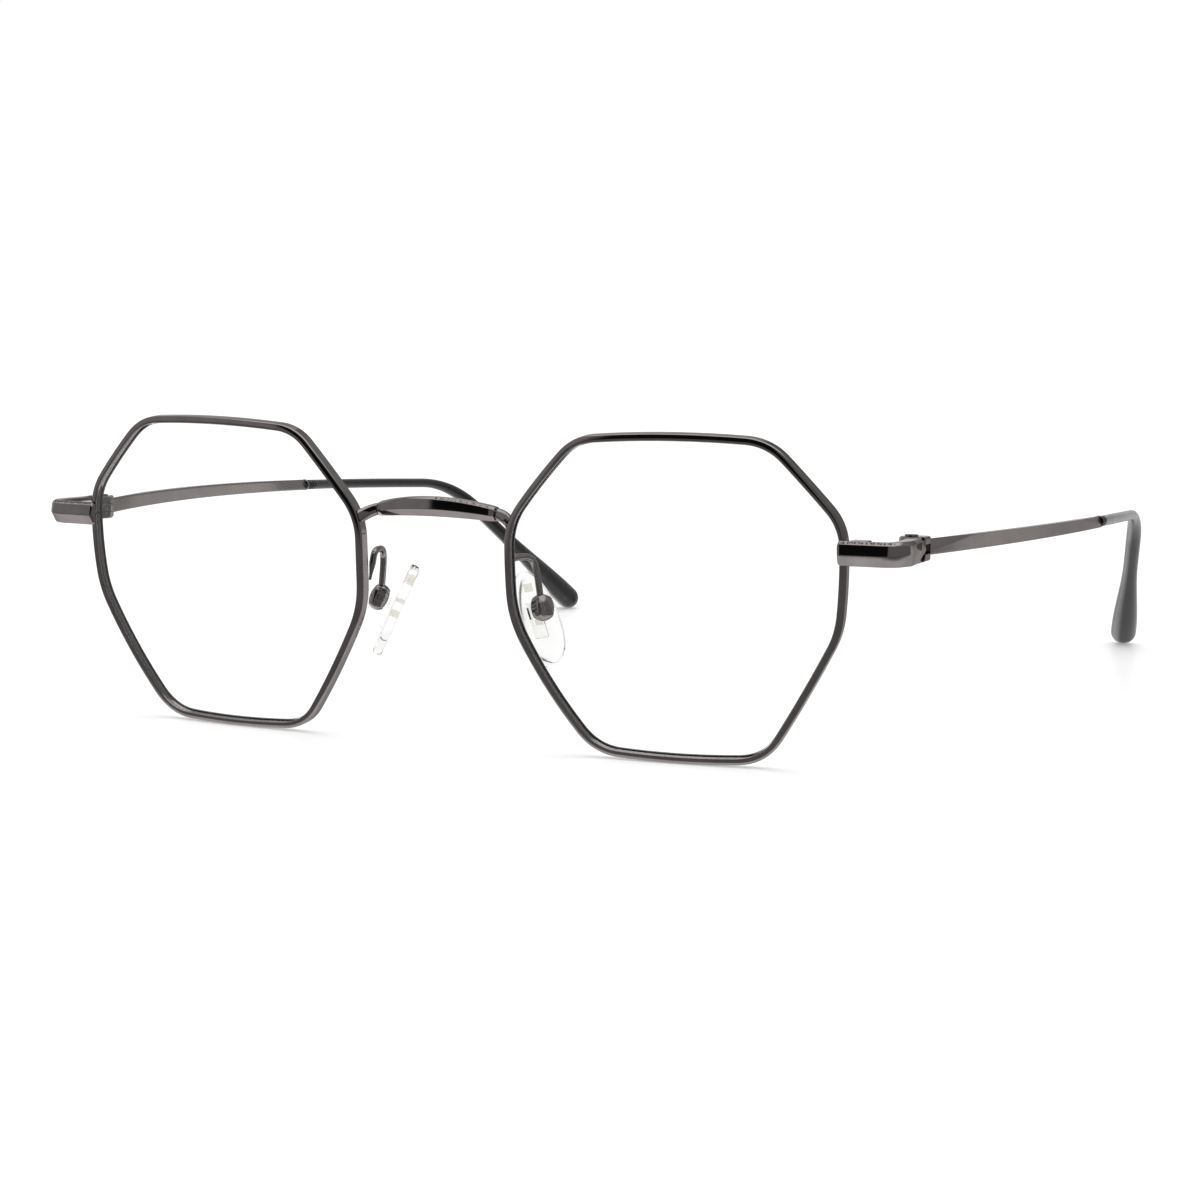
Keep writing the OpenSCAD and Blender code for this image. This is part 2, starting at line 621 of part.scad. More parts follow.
necks = [0.12, 0.4, 0.7, 1];

module bridge() {
  color(gunmetal) skin(concat(
    [for (s = reverse(necks)) neck_ring(s, -1)],
    [notch_ring(-half_bar - neck_gap), notch_ring(-half_bar - step)],
    [for (k = [-bar_half_rings:bar_half_rings]) bar_ring(half_bar * k / bar_half_rings)],
    [notch_ring(half_bar + step), notch_ring(half_bar + neck_gap)],
    [for (s = necks) neck_ring(s, 1)]));
}

// The origin lies under the middle of the object, on the table
y_front = min(bridge_y - bridge_d / 2,
  min([for (r = lens_shares, p = lens_ring(lens_edge, r, -lens_t / 2)) p.y]));
y_back = tip_end.y;
module centred() {
  translate([0, -(y_front + y_back) / 2, 0]) children();
}
module on_left() {
  centred() children();
}
module on_right() {
  mirror([1, 0, 0]) centred() children();
}

centred() bridge();
on_left() rim();  // left_rim
on_left() lens();  // left_lens
on_left() endpiece();  // left_endpiece
on_left() rim_lock_upper();  // left_rim_lock_upper
on_left() rim_lock_lower();  // left_rim_lock_lower
on_left() rim_lock_screw();  // left_rim_lock_screw
on_left() front_hinge();  // left_front_hinge
on_left() temple_hinge();  // left_temple_hinge
on_left() hinge_screw();  // left_hinge_screw
on_left() temple();  // left_temple
on_left() temple_tip();  // left_temple_tip
on_left() tip_ring();  // left_tip_ring
on_left() pad_arm();  // left_pad_arm
on_left() pad_box();  // left_pad_box
on_left() pad_screw();  // left_pad_screw
on_left() pad_stem();  // left_pad_stem
on_left() nose_pad();  // left_nose_pad
on_right() rim();  // right_rim
on_right() lens();  // right_lens
on_right() endpiece();  // right_endpiece
on_right() rim_lock_upper();  // right_rim_lock_upper
on_right() rim_lock_lower();  // right_rim_lock_lower
on_right() rim_lock_screw();  // right_rim_lock_screw
on_right() front_hinge();  // right_front_hinge
on_right() temple_hinge();  // right_temple_hinge
on_right() hinge_screw();  // right_hinge_screw
on_right() temple();  // right_temple
on_right() temple_tip();  // right_temple_tip
on_right() tip_ring();  // right_tip_ring
on_right() pad_arm();  // right_pad_arm
on_right() pad_box();  // right_pad_box
on_right() pad_screw();  // right_pad_screw
on_right() pad_stem();  // right_pad_stem
on_right() nose_pad();  // right_nose_pad
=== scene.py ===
from math import cos, pi, radians, sin, sqrt, tan

import bmesh
import bpy
from mathutils import Matrix, Vector


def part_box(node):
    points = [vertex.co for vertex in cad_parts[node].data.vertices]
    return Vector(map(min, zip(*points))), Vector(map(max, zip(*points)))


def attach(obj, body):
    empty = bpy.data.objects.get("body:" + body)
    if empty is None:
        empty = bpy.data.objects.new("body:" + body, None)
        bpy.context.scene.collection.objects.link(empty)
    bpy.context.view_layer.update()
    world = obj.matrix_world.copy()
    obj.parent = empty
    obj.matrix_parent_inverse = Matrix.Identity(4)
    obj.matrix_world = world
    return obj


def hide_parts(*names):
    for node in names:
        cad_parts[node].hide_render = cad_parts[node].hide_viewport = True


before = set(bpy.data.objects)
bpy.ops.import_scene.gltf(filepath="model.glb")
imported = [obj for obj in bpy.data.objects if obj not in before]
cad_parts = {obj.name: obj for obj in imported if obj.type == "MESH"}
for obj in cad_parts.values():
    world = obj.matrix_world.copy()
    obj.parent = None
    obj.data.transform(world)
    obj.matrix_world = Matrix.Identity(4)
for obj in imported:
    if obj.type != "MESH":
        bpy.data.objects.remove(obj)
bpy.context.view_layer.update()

MM = 0.001
SIDES = ("left", "right")

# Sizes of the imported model, in millimetres
LENS_W, LENS_H, LENS_T = 45.7, 43.2, 1.5
EYE_X, BASE_R, FACE_FORM, TILT = 33.5, 95, radians(4.7), radians(6.8)
RIM_W, RIM_D, GROOVE, LENS_FIT, SOLDER_FIT, FACE_FIT = 1.0, 1.7, 0.4, 0.05, 0.04, 0.08
BRIDGE_W, BRIDGE_H, BRIDGE_END_H, BRIDGE_D = 17.6, 2.7, 2.0, 2.0
BRIDGE_RISE, BRIDGE_ARCH, BRIDGE_BOW, BRIDGE_Y = 10.3, 0.8, 1.7, -0.4
NECK_H, NECK_D, NECK_DROP = 1.65, 1.3, 1.0
END_RISE, END_H, END_T, BARREL_R = 5.9, 3.3, 2.1, 1.7
FRONT_WALL, FRONT_GAP, MITRE_BACK = 1.0, 0.25, 2.5
BEND_BACK, BEND_OUT, TIP_LEN = 118, 2.1, 44.4
TIP_FALL, TIP_TURN = 35, 15.6
BAR_H, BAR_END_H, BAR_T, TIP_LEAD, TIP_NECK_W, TIP_END_W = 2.15, 1.75, 1.2, 46.5, 2.5, 4.5
TIP_FLAT, TIP_ROUND, RING_LEN, RING_LIP, CORE_R = 0.94, 2.6, 0.8, 0.06, 0.42
PAD_LEN, PAD_W, PAD_T, BOX_LEN, BOX_W, BOX_D = 13.8, 7.6, 1.5, 3.6, 3.0, 2.6
PAD_IN, PAD_BACK, PAD_DROP, PAD_ROLL, ROCK_GAP = 20.9, 8.2, 3.6, 10, 0.3
ARM_R, ARM_FOOT = 0.38, 0.8

# A hair's breadth, for the step between two unlike sections
HAIR = 0.01

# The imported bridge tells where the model's middle and the lens centres lie
bridge_low, bridge_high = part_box("bridge")
MIDDLE = BRIDGE_Y - BRIDGE_D / 2 - bridge_low.y / MM
LENS_Z = bridge_high.z / MM - BRIDGE_H / 2 - BRIDGE_RISE * cos(TILT)


def row(p):
    """A point of the design in millimetres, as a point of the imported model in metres."""
    return Vector((p[0], p[1] - MIDDLE, p[2])) * MM


def mix(a, b, t):
    return a + (b - a) * t


def smooth(t):
    t = min(1, max(0, t))
    return t * t * (3 - 2 * t)


def bezier2(a, b, c, t):
    return a * (1 - t) ** 2 + b * 2 * t * (1 - t) + c * t ** 2


def bezier3(a, b, c, d, t):
    return a * (1 - t) ** 3 + b * 3 * t * (1 - t) ** 2 + c * 3 * t ** 2 * (1 - t) + d * t ** 3


def rounded(corners, steps=4):
    """A flat section from its corners, each given as across, up and the radius of its rounding."""
    points = []
    for i, (x, y, r) in enumerate(corners):
        here = Vector((x, y))
        if r == 0:
            points.append(here)
            continue
        for k in range(steps + 1):
            ends = [Vector(corners[(i + side) % len(corners)][:2]) - here for side in (-1, 1)]
            a, b = (here + end.normalized() * min(r, end.length * 0.48) for end in ends)
            points.append(bezier2(a, here, b, k / steps))
    return points


def oval(rx, ry, count):
    return [Vector((rx * cos(2 * pi * k / count), ry * sin(2 * pi * k / count))) for k in range(count)]


# The eight-sided lens outline, seen from the front with the nose on the left
EYE_CORNERS = [
    (-12.2, 19.9, 2.5, 0.7), (14.2, 20.0, 2.9, 0.2), (23.8, 9.3, 2.7, 0.35), (23.1, -4.9, 2.3, 0.3),
    (12.6, -22.6, 3.5, 0.4), (-10.8, -22.4, 3.2, 0.65), (-21.9, -4.3, 3.0, 0.15), (-22.0, 8.3, 2.9, 0.3)]


def eye_outline(corner_steps=9, side_steps=9):
    corners = [Vector(c[:2]) for c in EYE_CORNERS]

    def side_point(i, t):
        a, b = corners[i % 8], corners[(i + 1) % 8]
        d = b - a
        return a + d * t + Vector((-d.y, d.x)).normalized() * EYE_CORNERS[i % 8][3] * 4 * t * (1 - t)

    def length(i):
        return (corners[(i + 1) % 8] - corners[i % 8]).length

    points = []
    for i in range(8):
        before = (i + 7) % 8
        start = side_point(before, 1 - EYE_CORNERS[i][2] / length(before))
        turn_in = EYE_CORNERS[i][2] / length(i)
        turn_out = 1 - EYE_CORNERS[(i + 1) % 8][2] / length(i)
        points += [bezier2(start, corners[i], side_point(i, turn_in), k / corner_steps)
                   for k in range(corner_steps)]
        points += [side_point(i, mix(turn_in, turn_out, k / side_steps)) for k in range(side_steps)]
    wide = max(p.x for p in points) - min(p.x for p in points)
    high = max(p.y for p in points) - min(p.y for p in points)
    return [Vector((p.x * LENS_W / wide, p.y * LENS_H / high)) for p in points]


def outward(before, after):
    d = after - before
    return Vector((-d.y, d.x)).normalized()


def moved_out(line, a):
    n = len(line)
    return [line[i] + outward(line[i - 1], line[(i + 1) % n]) * a for i in range(n)]


def placed(u, v, back):
    """A point on the curved and leaning front: across, up and back from the lens's middle."""
    w = BASE_R - sqrt(BASE_R ** 2 - u ** 2 - v ** 2) + back
    x = EYE_X + u * cos(FACE_FORM) - w * sin(FACE_FORM)
    y = u * sin(FACE_FORM) + w * cos(FACE_FORM)
    return Vector((x, y * cos(TILT) - v * sin(TILT), y * sin(TILT) + v * cos(TILT) + LENS_Z))


def crossing(line, v, side):
    """Where an outline crosses a height, on the temple side (1) or the nose side (-1)."""
    found = []
    for i, a in enumerate(line):
        b = line[(i + 1) % len(line)]
        if (a.y - v) * (b.y - v) <= 0 and a.y != b.y:
            found.append(side * (a.x + (b.x - a.x) * (v - a.y) / (b.y - a.y)))
    return side * max(found)


EYE = eye_outline()
RIM_OUT = RIM_W / 2 - GROOVE + LENS_FIT
RIM_LINE = moved_out(EYE, RIM_OUT)
low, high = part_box("left_hinge_screw")
PIN = Vector(((low.x + high.x) / 2, (low.y + high.y) / 2, 0)) / MM + Vector((0, MIDDLE, 0))
END_RIM = placed(crossing(RIM_LINE, END_RISE, 1), END_RISE, 0)
END_Z = END_RIM.z
PIN.z = END_Z


# Modelling by hand
def only(piece):
    bpy.ops.object.select_all(action="DESELECT")
    piece.select_set(True)
    bpy.context.view_layer.objects.active = piece
    return piece


def in_edit(piece):
    only(piece)
    bpy.ops.object.mode_set(mode="EDIT")
    bpy.ops.mesh.select_all(action="SELECT")
    return bmesh.from_edit_mesh(piece.data)


def face_out(piece):
    """Turns all faces outwards, which the sign of the volume between them confirms."""
    in_edit(piece)
    bpy.ops.mesh.normals_make_consistent(inside=False)
    if bmesh.from_edit_mesh(piece.data).calc_volume(signed=True) < 0:
        bpy.ops.mesh.flip_normals()
    bpy.ops.object.mode_set(mode="OBJECT")
    return piece


def close_up(piece):
    """Merges doubles, fills the open ends and turns all faces outwards."""
    in_edit(piece)
    bpy.ops.mesh.remove_doubles(threshold=1e-6)
    bpy.ops.mesh.select_all(action="DESELECT")
    bpy.ops.mesh.select_mode(type="EDGE")
    bpy.ops.mesh.select_non_manifold()
    bpy.ops.mesh.edge_face_add()
    bpy.ops.mesh.select_mode(type="VERT")
    bpy.ops.object.mode_set(mode="OBJECT")
    return face_out(piece)


def draw_out(name, stations, ends=()):
    """A ring of edges takes the first section, and is extruded from station to station.

    An end with a point of its own is closed by a fan of faces round it.
    """
    bpy.ops.object.select_all(action="DESELECT")
    bpy.ops.mesh.primitive_circle_add(vertices=len(stations[0]), radius=MM)
    piece = bpy.context.active_object
    piece.name = piece.data.name = name
    for vert, point in zip(piece.data.vertices, stations[0]):
        vert.co = row(point)
    in_edit(piece)
    count = len(stations[0])
    for station in stations[1:]:
        bpy.ops.mesh.extrude_edges_move()
        shape = bmesh.from_edit_mesh(piece.data)
        shape.verts.ensure_lookup_table()
        for vert, point in zip(shape.verts[-count:], station):
            vert.co = row(point)
    # Extruding leaves edges and faces in no fixed order, and sorting them gives the same mesh on every run
    total = len(stations) * count
    shape.verts.index_update()
    for elements in (shape.edges, shape.faces):
        elements.sort(key=lambda e: min(v.index for v in e.verts) * total + max(v.index for v in e.verts))
    for point, first in zip(ends, (0, total - count)):
        if point is None:
            continue
        bpy.ops.mesh.select_all(action="DESELECT")
        shape = bmesh.from_edit_mesh(piece.data)
        shape.verts.ensure_lookup_table()
        for vert in shape.verts[first:first + count]:
            vert.select = True
        shape.select_flush_mode()
        bpy.ops.mesh.edge_face_add()
        bpy.ops.mesh.poke()
        shape = bmesh.from_edit_mesh(piece.data)
        shape.verts.ensure_lookup_table()
        shape.verts[-1].co = row(point)
    bmesh.update_edit_mesh(piece.data)
    bpy.ops.object.mode_set(mode="OBJECT")
    return close_up(piece)


def way_at(path, i):
    return (path[min(len(path) - 1, i + 1)] - path[max(0, i - 1)]).normalized()


def ring_at(p, way, section):
    """A section at a point of a path: its first axis to the path's left, its second up."""
    side = Vector((0, 0, 1)).cross(way).normalized()
    up = way.cross(side)
    return [p + side * q.x + up * q.y for q in section]


def modifier(piece, kind, **settings):
    only(piece)
    made = piece.modifiers.new(kind.lower(), kind)
    for key, value in settings.items():
        setattr(made, key, value)
    bpy.ops.object.modifier_apply(modifier=made.name)
    return piece


def soft_edges(piece, width, angle=30, segments=3):
    return modifier(piece, "BEVEL", width=width * MM, segments=segments, limit_method="ANGLE",
                    angle_limit=radians(angle), miter_outer="MITER_ARC")


def copied(node, name):
    """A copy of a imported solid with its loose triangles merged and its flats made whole."""
    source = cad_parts[node]
    bpy.ops.object.select_all(action="DESELECT")
    bpy.ops.mesh.primitive_plane_add(size=MM)
    piece = bpy.context.active_object
    piece.data = source.data.copy()
    piece.name = piece.data.name = name
    piece.data.materials.clear()
    in_edit(piece)
    bpy.ops.mesh.remove_doubles(threshold=1e-6)
    bpy.ops.mesh.dissolve_limited(angle_limit=radians(2))
    bpy.ops.object.mode_set(mode="OBJECT")
    return piece


def twin(piece, name):
    """The same piece for the other side of the face."""
    only(piece)
    bpy.ops.object.duplicate()
    other = bpy.context.active_object
    other.name = other.data.name = name
    bpy.ops.transform.mirror(constraint_axis=(True, False, False), center_override=(0, 0, 0))
    bpy.ops.object.transform_apply(location=True, rotation=True, scale=True)
    return face_out(other)


def hand_over(piece, node, body, look, slot, angle=35, weighted=True):
    """Shades a finished piece, gives it its material and body, and lets it stand for its node."""
    only(piece)
    bpy.ops.object.shade_smooth_by_angle(angle=radians(angle))
    if weighted:
        modifier(piece, "WEIGHTED_NORMAL", keep_sharp=True)
    piece.data.materials.clear()
    piece.data.materials.append(look)
    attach(piece, body)
    if node:
        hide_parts(node)
    return piece


def both_sides(piece, label, node, bodies, look, slot, **settings):
    """Hands over a left piece and its twin."""
    other = twin(piece, "right_" + label)
    for side, made in zip(SIDES, (piece, other)):
        body = bodies if bodies == "front" else side + bodies
        hand_over(made, node and f"{side}_{node}", body, look, slot, **settings)


# Materials
def colour(text):
    """An sRGB hex value as linear light."""
    parts = [int(text[i:i + 2], 16) / 255 for i in (1, 3, 5)]
    return [c / 12.92 if c <= 0.04045 else ((c + 0.055) / 1.055) ** 2.4 for c in parts] + [1]


def add(tree, kind, inputs=None, **settings):
    """Adds a node with its settings, its values and the links into it."""
    node = tree.nodes.new("ShaderNode" + kind)
    for key, value in settings.items():
        setattr(node, key, value)
    for key, value in (inputs or {}).items():
        if isinstance(value, bpy.types.NodeSocket):
            tree.links.new(value, node.inputs[key])
        else:
            node.inputs[key].default_value = value
    return node


def material(name, **shader):
    made = bpy.data.materials.new(name)
    made.use_nodes = True
    tree = made.node_tree
    tree.nodes.clear()
    surface = add(tree, "BsdfPrincipled", shader)
    add(tree, "OutputMaterial", {"Surface": surface.outputs[0]})
    place = add(tree, "TexCoord").outputs["Object"]
    return made, tree, surface, place


def finish(name, tones, gloss, cloud, grain, relief, **shader):
    """A finish whose tone and gloss drift a little, over a fine grain, each at its size in millimetres."""
    made, tree, surface, place = material(name, **shader)
    clouds = add(tree, "TexNoise", {"Vector": place, "Scale": 1 / (cloud * MM), "Detail": 3.0})
    tone = add(tree, "MapRange", {"Value": clouds.outputs["Fac"], 1: 0.3, 2: 0.7})
    paint = add(tree, "Mix", {"Factor": tone.outputs[0], 6: colour(tones[0]), 7: colour(tones[1])},
                data_type="RGBA")
    tree.links.new(paint.outputs[2], surface.inputs["Base Color"])
    rub = add(tree, "TexNoise", {"Vector": place, "Scale": 1 / (0.25 * cloud * MM), "Detail": 4.0})
    shine = add(tree, "MapRange", {"Value": rub.outputs["Fac"], 1: 0.3, 2: 0.7, 3: gloss[0], 4: gloss[1]})
    tree.links.new(shine.outputs[0], surface.inputs["Roughness"])
    fine = add(tree, "TexNoise", {"Vector": place, "Scale": 1 / (grain * MM), "Detail": 2.0})
    bump = add(tree, "Bump", {"Height": fine.outputs["Fac"], "Strength": relief, "Distance": 0.01 * MM})
    tree.links.new(bump.outputs["Normal"], surface.inputs["Normal"])
    return made


# Gunmetal plating on polished nickel silver: the eye sees a dark, slightly warm mirror, dark edge on too
GUNMETAL = {"Metallic": 1.0, "Specular Tint": colour("#B0ADAB")}
plating = finish("polished_gunmetal_plating", ("#878281", "#928D8B"), (0.05, 0.1), 3.0, 0.3, 0.05,
                 **GUNMETAL)
# The same plating on wire that was drawn and brushed flat: the mirror is soft and even
satin_plating = finish("brushed_gunmetal_plating", ("#8B8684", "#918D8B"), (0.16, 0.22), 4.0, 0.3, 0.06,
                       **GUNMETAL)
# Plated steel of the screws: a little darker and rougher than the frame
screw_metal = finish("dark_plated_screw_steel", ("#7C7674", "#8F8986"), (0.14, 0.24), 1.0, 0.2, 0.15,
                     **GUNMETAL)
# Moulded plastic with a satin coat: a broad dull sheen over near black
tip_plastic = finish("satin_moulded_tip_plastic", ("#1D1B1A", "#242120"), (0.22, 0.28), 6.0, 0.25, 0.1,
                     IOR=1.36)
# The groove behind the collar: flat black
groove_black = finish("black_behind_collar", ("#161413", "#201D1C"), (0.3, 0.45), 1.0, 0.2, 0.2)
# Clear moulded pads: the eye sees their edges, and a faint warm grey through their thickness
pad_plastic = finish("clear_moulded_pad_plastic", ("#F6F6F4", "#FCFCFB"), (0.07, 0.1), 2.0, 1.2, 0.0,
                     **{"IOR": 1.3, "Transmission Weight": 1.0})
# Hard-coated lens plastic: all but invisible face on, with a gloss where it is seen at a slant
lens_plastic = finish("clear_coated_lens_plastic", ("#F0F4F4", "#F8FBFB"), (0.02, 0.03), 8.0, 4.0, 0.0)
lens_tree = lens_plastic.node_tree
slant = add(lens_tree, "LayerWeight", {"Blend": 0.5})
veil = add(lens_tree, "MapRange", {"Value": slant.outputs["Facing"], 1: 0.25, 2: 0.95, 3: 0.01, 4: 0.06})
lens_tree.links.new(veil.outputs[0], lens_tree.nodes["Principled BSDF"].inputs["Alpha"])
# The pads' moulded core has yellowed: pale straw flecks inside the clear plastic
core_plastic = finish("yellowed_pad_core_plastic", ("#CFC7AC", "#E6DFC8"), (0.2, 0.3), 0.8, 0.3, 0.4,
                      Alpha=0.3)
# Painted shade at the lens's ground edge: flat black stands in for the edge, which traps the light and
# looks black from inside the rim
painted_rim_shade = finish("ground_lens_edge", ("#0C0B0B", "#161413"), (0.4, 0.5), 1.0, 0.2, 0.2)


# Rims: drawn wire with the lens groove rolled into its inner side, split behind the endpiece
SPLIT, GROOVE_HALF = 0.16, 0.475


def rim_stations():
    split = Vector((crossing(RIM_LINE, END_RISE, 1), END_RISE))
    n = len(RIM_LINE)
    first = next(i for i in range(n) if RIM_LINE[i].x > 0 and RIM_LINE[i].y >= END_RISE
                 and RIM_LINE[(i + 1) % n].y < END_RISE)
    along = (RIM_LINE[(first + 1) % n] - RIM_LINE[first]).normalized()
    path = [split + along * SPLIT / 2]
    path += [p for p in (RIM_LINE[(first + j) % n] for j in range(1, n + 1)) if (p - split).length > SPLIT]
    path.append(split - along * SPLIT / 2)
    x, y, g = RIM_W / 2, RIM_D / 2, GROOVE_HALF
    section = rounded([
        (-x, -g, 0.06), (-x + GROOVE, 0, 0.1), (-x, g, 0.06), (-x, y, 0.2), (x, y, 0.25),
        (x, -y + 0.1, 0.2), (x - 0.25, -y, 0.25), (-x + 0.42, -y, 0.05), (-x + 0.1, -y + 0.065, 0.05),
        (-x, -y + 0.24, 0.1)], 3)
    last = len(path) - 1
    stations = []
    for i, p in enumerate(path):
        way = outward(path[max(0, i - 1)], path[min(last, i + 1)])
        stations.append([placed(p.x + way.x * q.x, p.y + way.y * q.x, q.y) for q in section])
    return stations


rim = draw_out("left_rim_wire", rim_stations())
both_sides(rim, "rim_wire", "rim", "front", plating, "gunmetal", angle=40)


# Lenses: a bevelled edge sits in the groove, with domed front and hollow back
LIP_FIT, BEVEL_HALF = 0.05, 0.375


def lens_stations():
    edge = LENS_FIT - GROOVE - LIP_FIT
    shares = [0.12, 0.3, 0.5, 0.7, 0.85, 0.95, 1]

    def ring(a, share, back):
        return [placed(p.x * share, p.y * share, back) for p in moved_out(EYE, a)]

    half = LENS_T / 2
    stations = [ring(edge, s, -half) for s in shares]
    stations += [ring(edge, 1, -BEVEL_HALF), ring(0, 1, 0), ring(edge, 1, BEVEL_HALF)]
    return stations + [ring(edge, s, half) for s in reversed(shares)]


lens = draw_out("left_lens_blank", lens_stations(), [placed(0, 0, -LENS_T / 2), placed(0, 0, LENS_T / 2)])
both_sides(lens, "lens_blank", "lens", "front", lens_plastic, "lens", angle=25)


# Painted shade: a thin black band round the rear half of the lens's ground edge, which all but closes on
# itself
EDGE_IN, EDGE_T, EDGE_FROM, EDGE_TO, EDGE_CLOSE = 0.47, 0.05, 0.3, 0.7, 0.97


def edge_stations():
    path = moved_out(EYE, -EDGE_IN)
    n = len(path)
    section = ((0, EDGE_FROM), (EDGE_T, EDGE_FROM), (EDGE_T, EDGE_TO), (0, EDGE_TO))
    stations = []
    for i in range(n + 1):
        p = path[i] if i < n else path[-1].lerp(path[0], EDGE_CLOSE)
        way = outward(path[i - 1], path[(i + 1) % n])
        stations.append([placed(p.x + way.x * a, p.y + way.y * a, back) for a, back in section])
    return stations


# The band of painted shade, drawn just inside the lens's edge
rim_shade_band = draw_out("left_lens_edge", edge_stations())
both_sides(rim_shade_band, "lens_edge", None, "front", painted_rim_shade, "lens")


# Bridge: an arched bar with a ridge, a milled band on its top edge and slim soldered necks
BAND_CUT = 0.16
BRIDGE_PITCH, BAND_FROM, BAND_SHORT = 0.55, 0.8, 0.5
BRIDGE_CHAMFER, BRIDGE_STEPS = 0.12, 160
NOTCH_D, NOTCH_H, NOTCH_LEN = 1.1, NECK_H * 0.86, 0.2


def bridge_section(d, h, band=0.0):
    x, y = d / 2, h / 2
    return rounded([
        (-x, -0.12 * h, 0.08), (-x + 0.34 * d, -y, 0.12), (x, -y, 0.25), (x, y, 0.3),
        (-x + 0.66, y - 0.4 * band, 0.05), (-x + 0.4 + band, y - 0.14 - band, 0.04),
        (-x + 0.2, y - 0.35, 0.06)], 3)


def neck_section(d, h):
    """A rounder section, whose front is a dark channel between two light lines."""
    x, y = d / 2, h / 2
    return rounded([
        (-x, -0.2 * h, 0.25), (-x + 0.3, -y, 0.3), (x, -y, 0.25), (x, y, 0.3),
        (-x + 0.6, y, 0.2), (-x + 0.3, y - 0.1, 0.15), (-x, 0.16 * h, 0.25)], 3)


def milled(place, pitch):
    """Depth of the milled band at a place along it: two rows of small cuts cross each other."""
    phase = place / pitch
    return BAND_CUT * (0.55 * abs(sin(pi * phase)) + 0.45 * abs(sin(pi * phase * 1.62 + 0.7)))


def bridge_stations():
    half = BRIDGE_W / 2
    mid_z = LENS_Z + BRIDGE_RISE * cos(TILT)
    neck_y, neck_z = BRIDGE_Y + BRIDGE_BOW, mid_z - BRIDGE_ARCH
    nose_face = moved_out(EYE, RIM_OUT + RIM_W / 2 + 2 * SOLDER_FIT)

    def rim_face(z, back):
        v = (z - LENS_Z) / cos(TILT)
        w = BASE_R - sqrt(BASE_R ** 2 - crossing(nose_face, v, -1) ** 2 - v ** 2) + back
        u = crossing(nose_face, v, -1)
        v -= (u * sin(FACE_FORM) + w * cos(FACE_FORM)) * tan(TILT)
        return placed(crossing(nose_face, v, -1), v, back)

    def bar(x):
        bow = 1 - (x / half) ** 2
        band = milled(x + half, BRIDGE_PITCH) if BAND_FROM < x < half - BAND_SHORT else 0.0
        edge = BRIDGE_CHAMFER * max(0, abs(x) / half * 16 - 15)
        section = bridge_section(BRIDGE_D - edge, mix(BRIDGE_END_H, BRIDGE_H, bow) - edge, band)
        return [Vector((x, BRIDGE_Y + BRIDGE_BOW * (1 - bow) + q.x, mid_z - BRIDGE_ARCH * (1 - bow) + q.y))
                for q in section]

    def notch(x):
        return [Vector((x, neck_y + q.x, neck_z + q.y)) for q in neck_section(NOTCH_D, NOTCH_H)]

    def neck(s, side):
        end_y = rim_face(neck_z - NECK_DROP, 0).y
        points = []
        for q in neck_section(NECK_D, NECK_H):
            z = neck_z - NECK_DROP * s ** 1.5 + q.y
            x = half + HAIR + (rim_face(z, q.x).x - half - HAIR) * s
            points.append(Vector((side * x, neck_y + (end_y - neck_y) * s ** 2 + q.x, z)))
        return points

    shares = [0.1, 0.14, 0.25, 0.4, 0.55, 0.7, 0.85, 1]
    stations = [neck(s, -1) for s in reversed(shares)] + [notch(-half - NOTCH_LEN), notch(-half - HAIR)]
    stations += [bar(half * (k / BRIDGE_STEPS * 2 - 1)) for k in range(BRIDGE_STEPS + 1)]
    return stations + [notch(half + HAIR), notch(half + NOTCH_LEN)] + [neck(s, 1) for s in shares]


bridge = draw_out("bridge_bar", bridge_stations())
hand_over(bridge, "bridge", "front", plating, "gunmetal", angle=28)


# Endpieces: swept round the corner, with a ridge, a milled band and a thin pointed cheek that meets the
# hinge's ears in a mitre, outside the barrels
CHEEK, CHEEK_FIT = 0.35, 0.07
MITRE_END, MITRE_POINT = 1.0, 0.95
# Its path starts over the rim, leaves the front's line for the corner, and ends at the cheek
RIM_LAP, TURN_OUT, TURN_BACK = 0.4, 5.4, 0.55
CORNER_OUT, CORNER_BACK, CORNER_END = 1.1, 1.0, 5.1
FRONT_STEPS, TURN_STEPS, THIN_STEPS, CHEEK_STEPS, TURN_SPAN = 40, 44, 5, 8, 50
END_PITCH, END_BAND_FROM, END_BAND_TO = 0.5, 0.3, 7.7
# The front's lower bevel is deep, and tapers before the mitre; the upper one carries the band
UNDER_FRONT, UNDER_CHEEK, TAPER_FROM, TAPER_LEN = 0.75, 0.3, 0.7, 0.28
TOP_BEVEL, END_EASE, RIDGE_DROP = 0.25, 0.35, 0.2


def mitre_point(z):
    """How far the mitre reaches back at a height: most at the middle."""
    return MITRE_POINT * (1 - 2 * abs(z) / END_H)


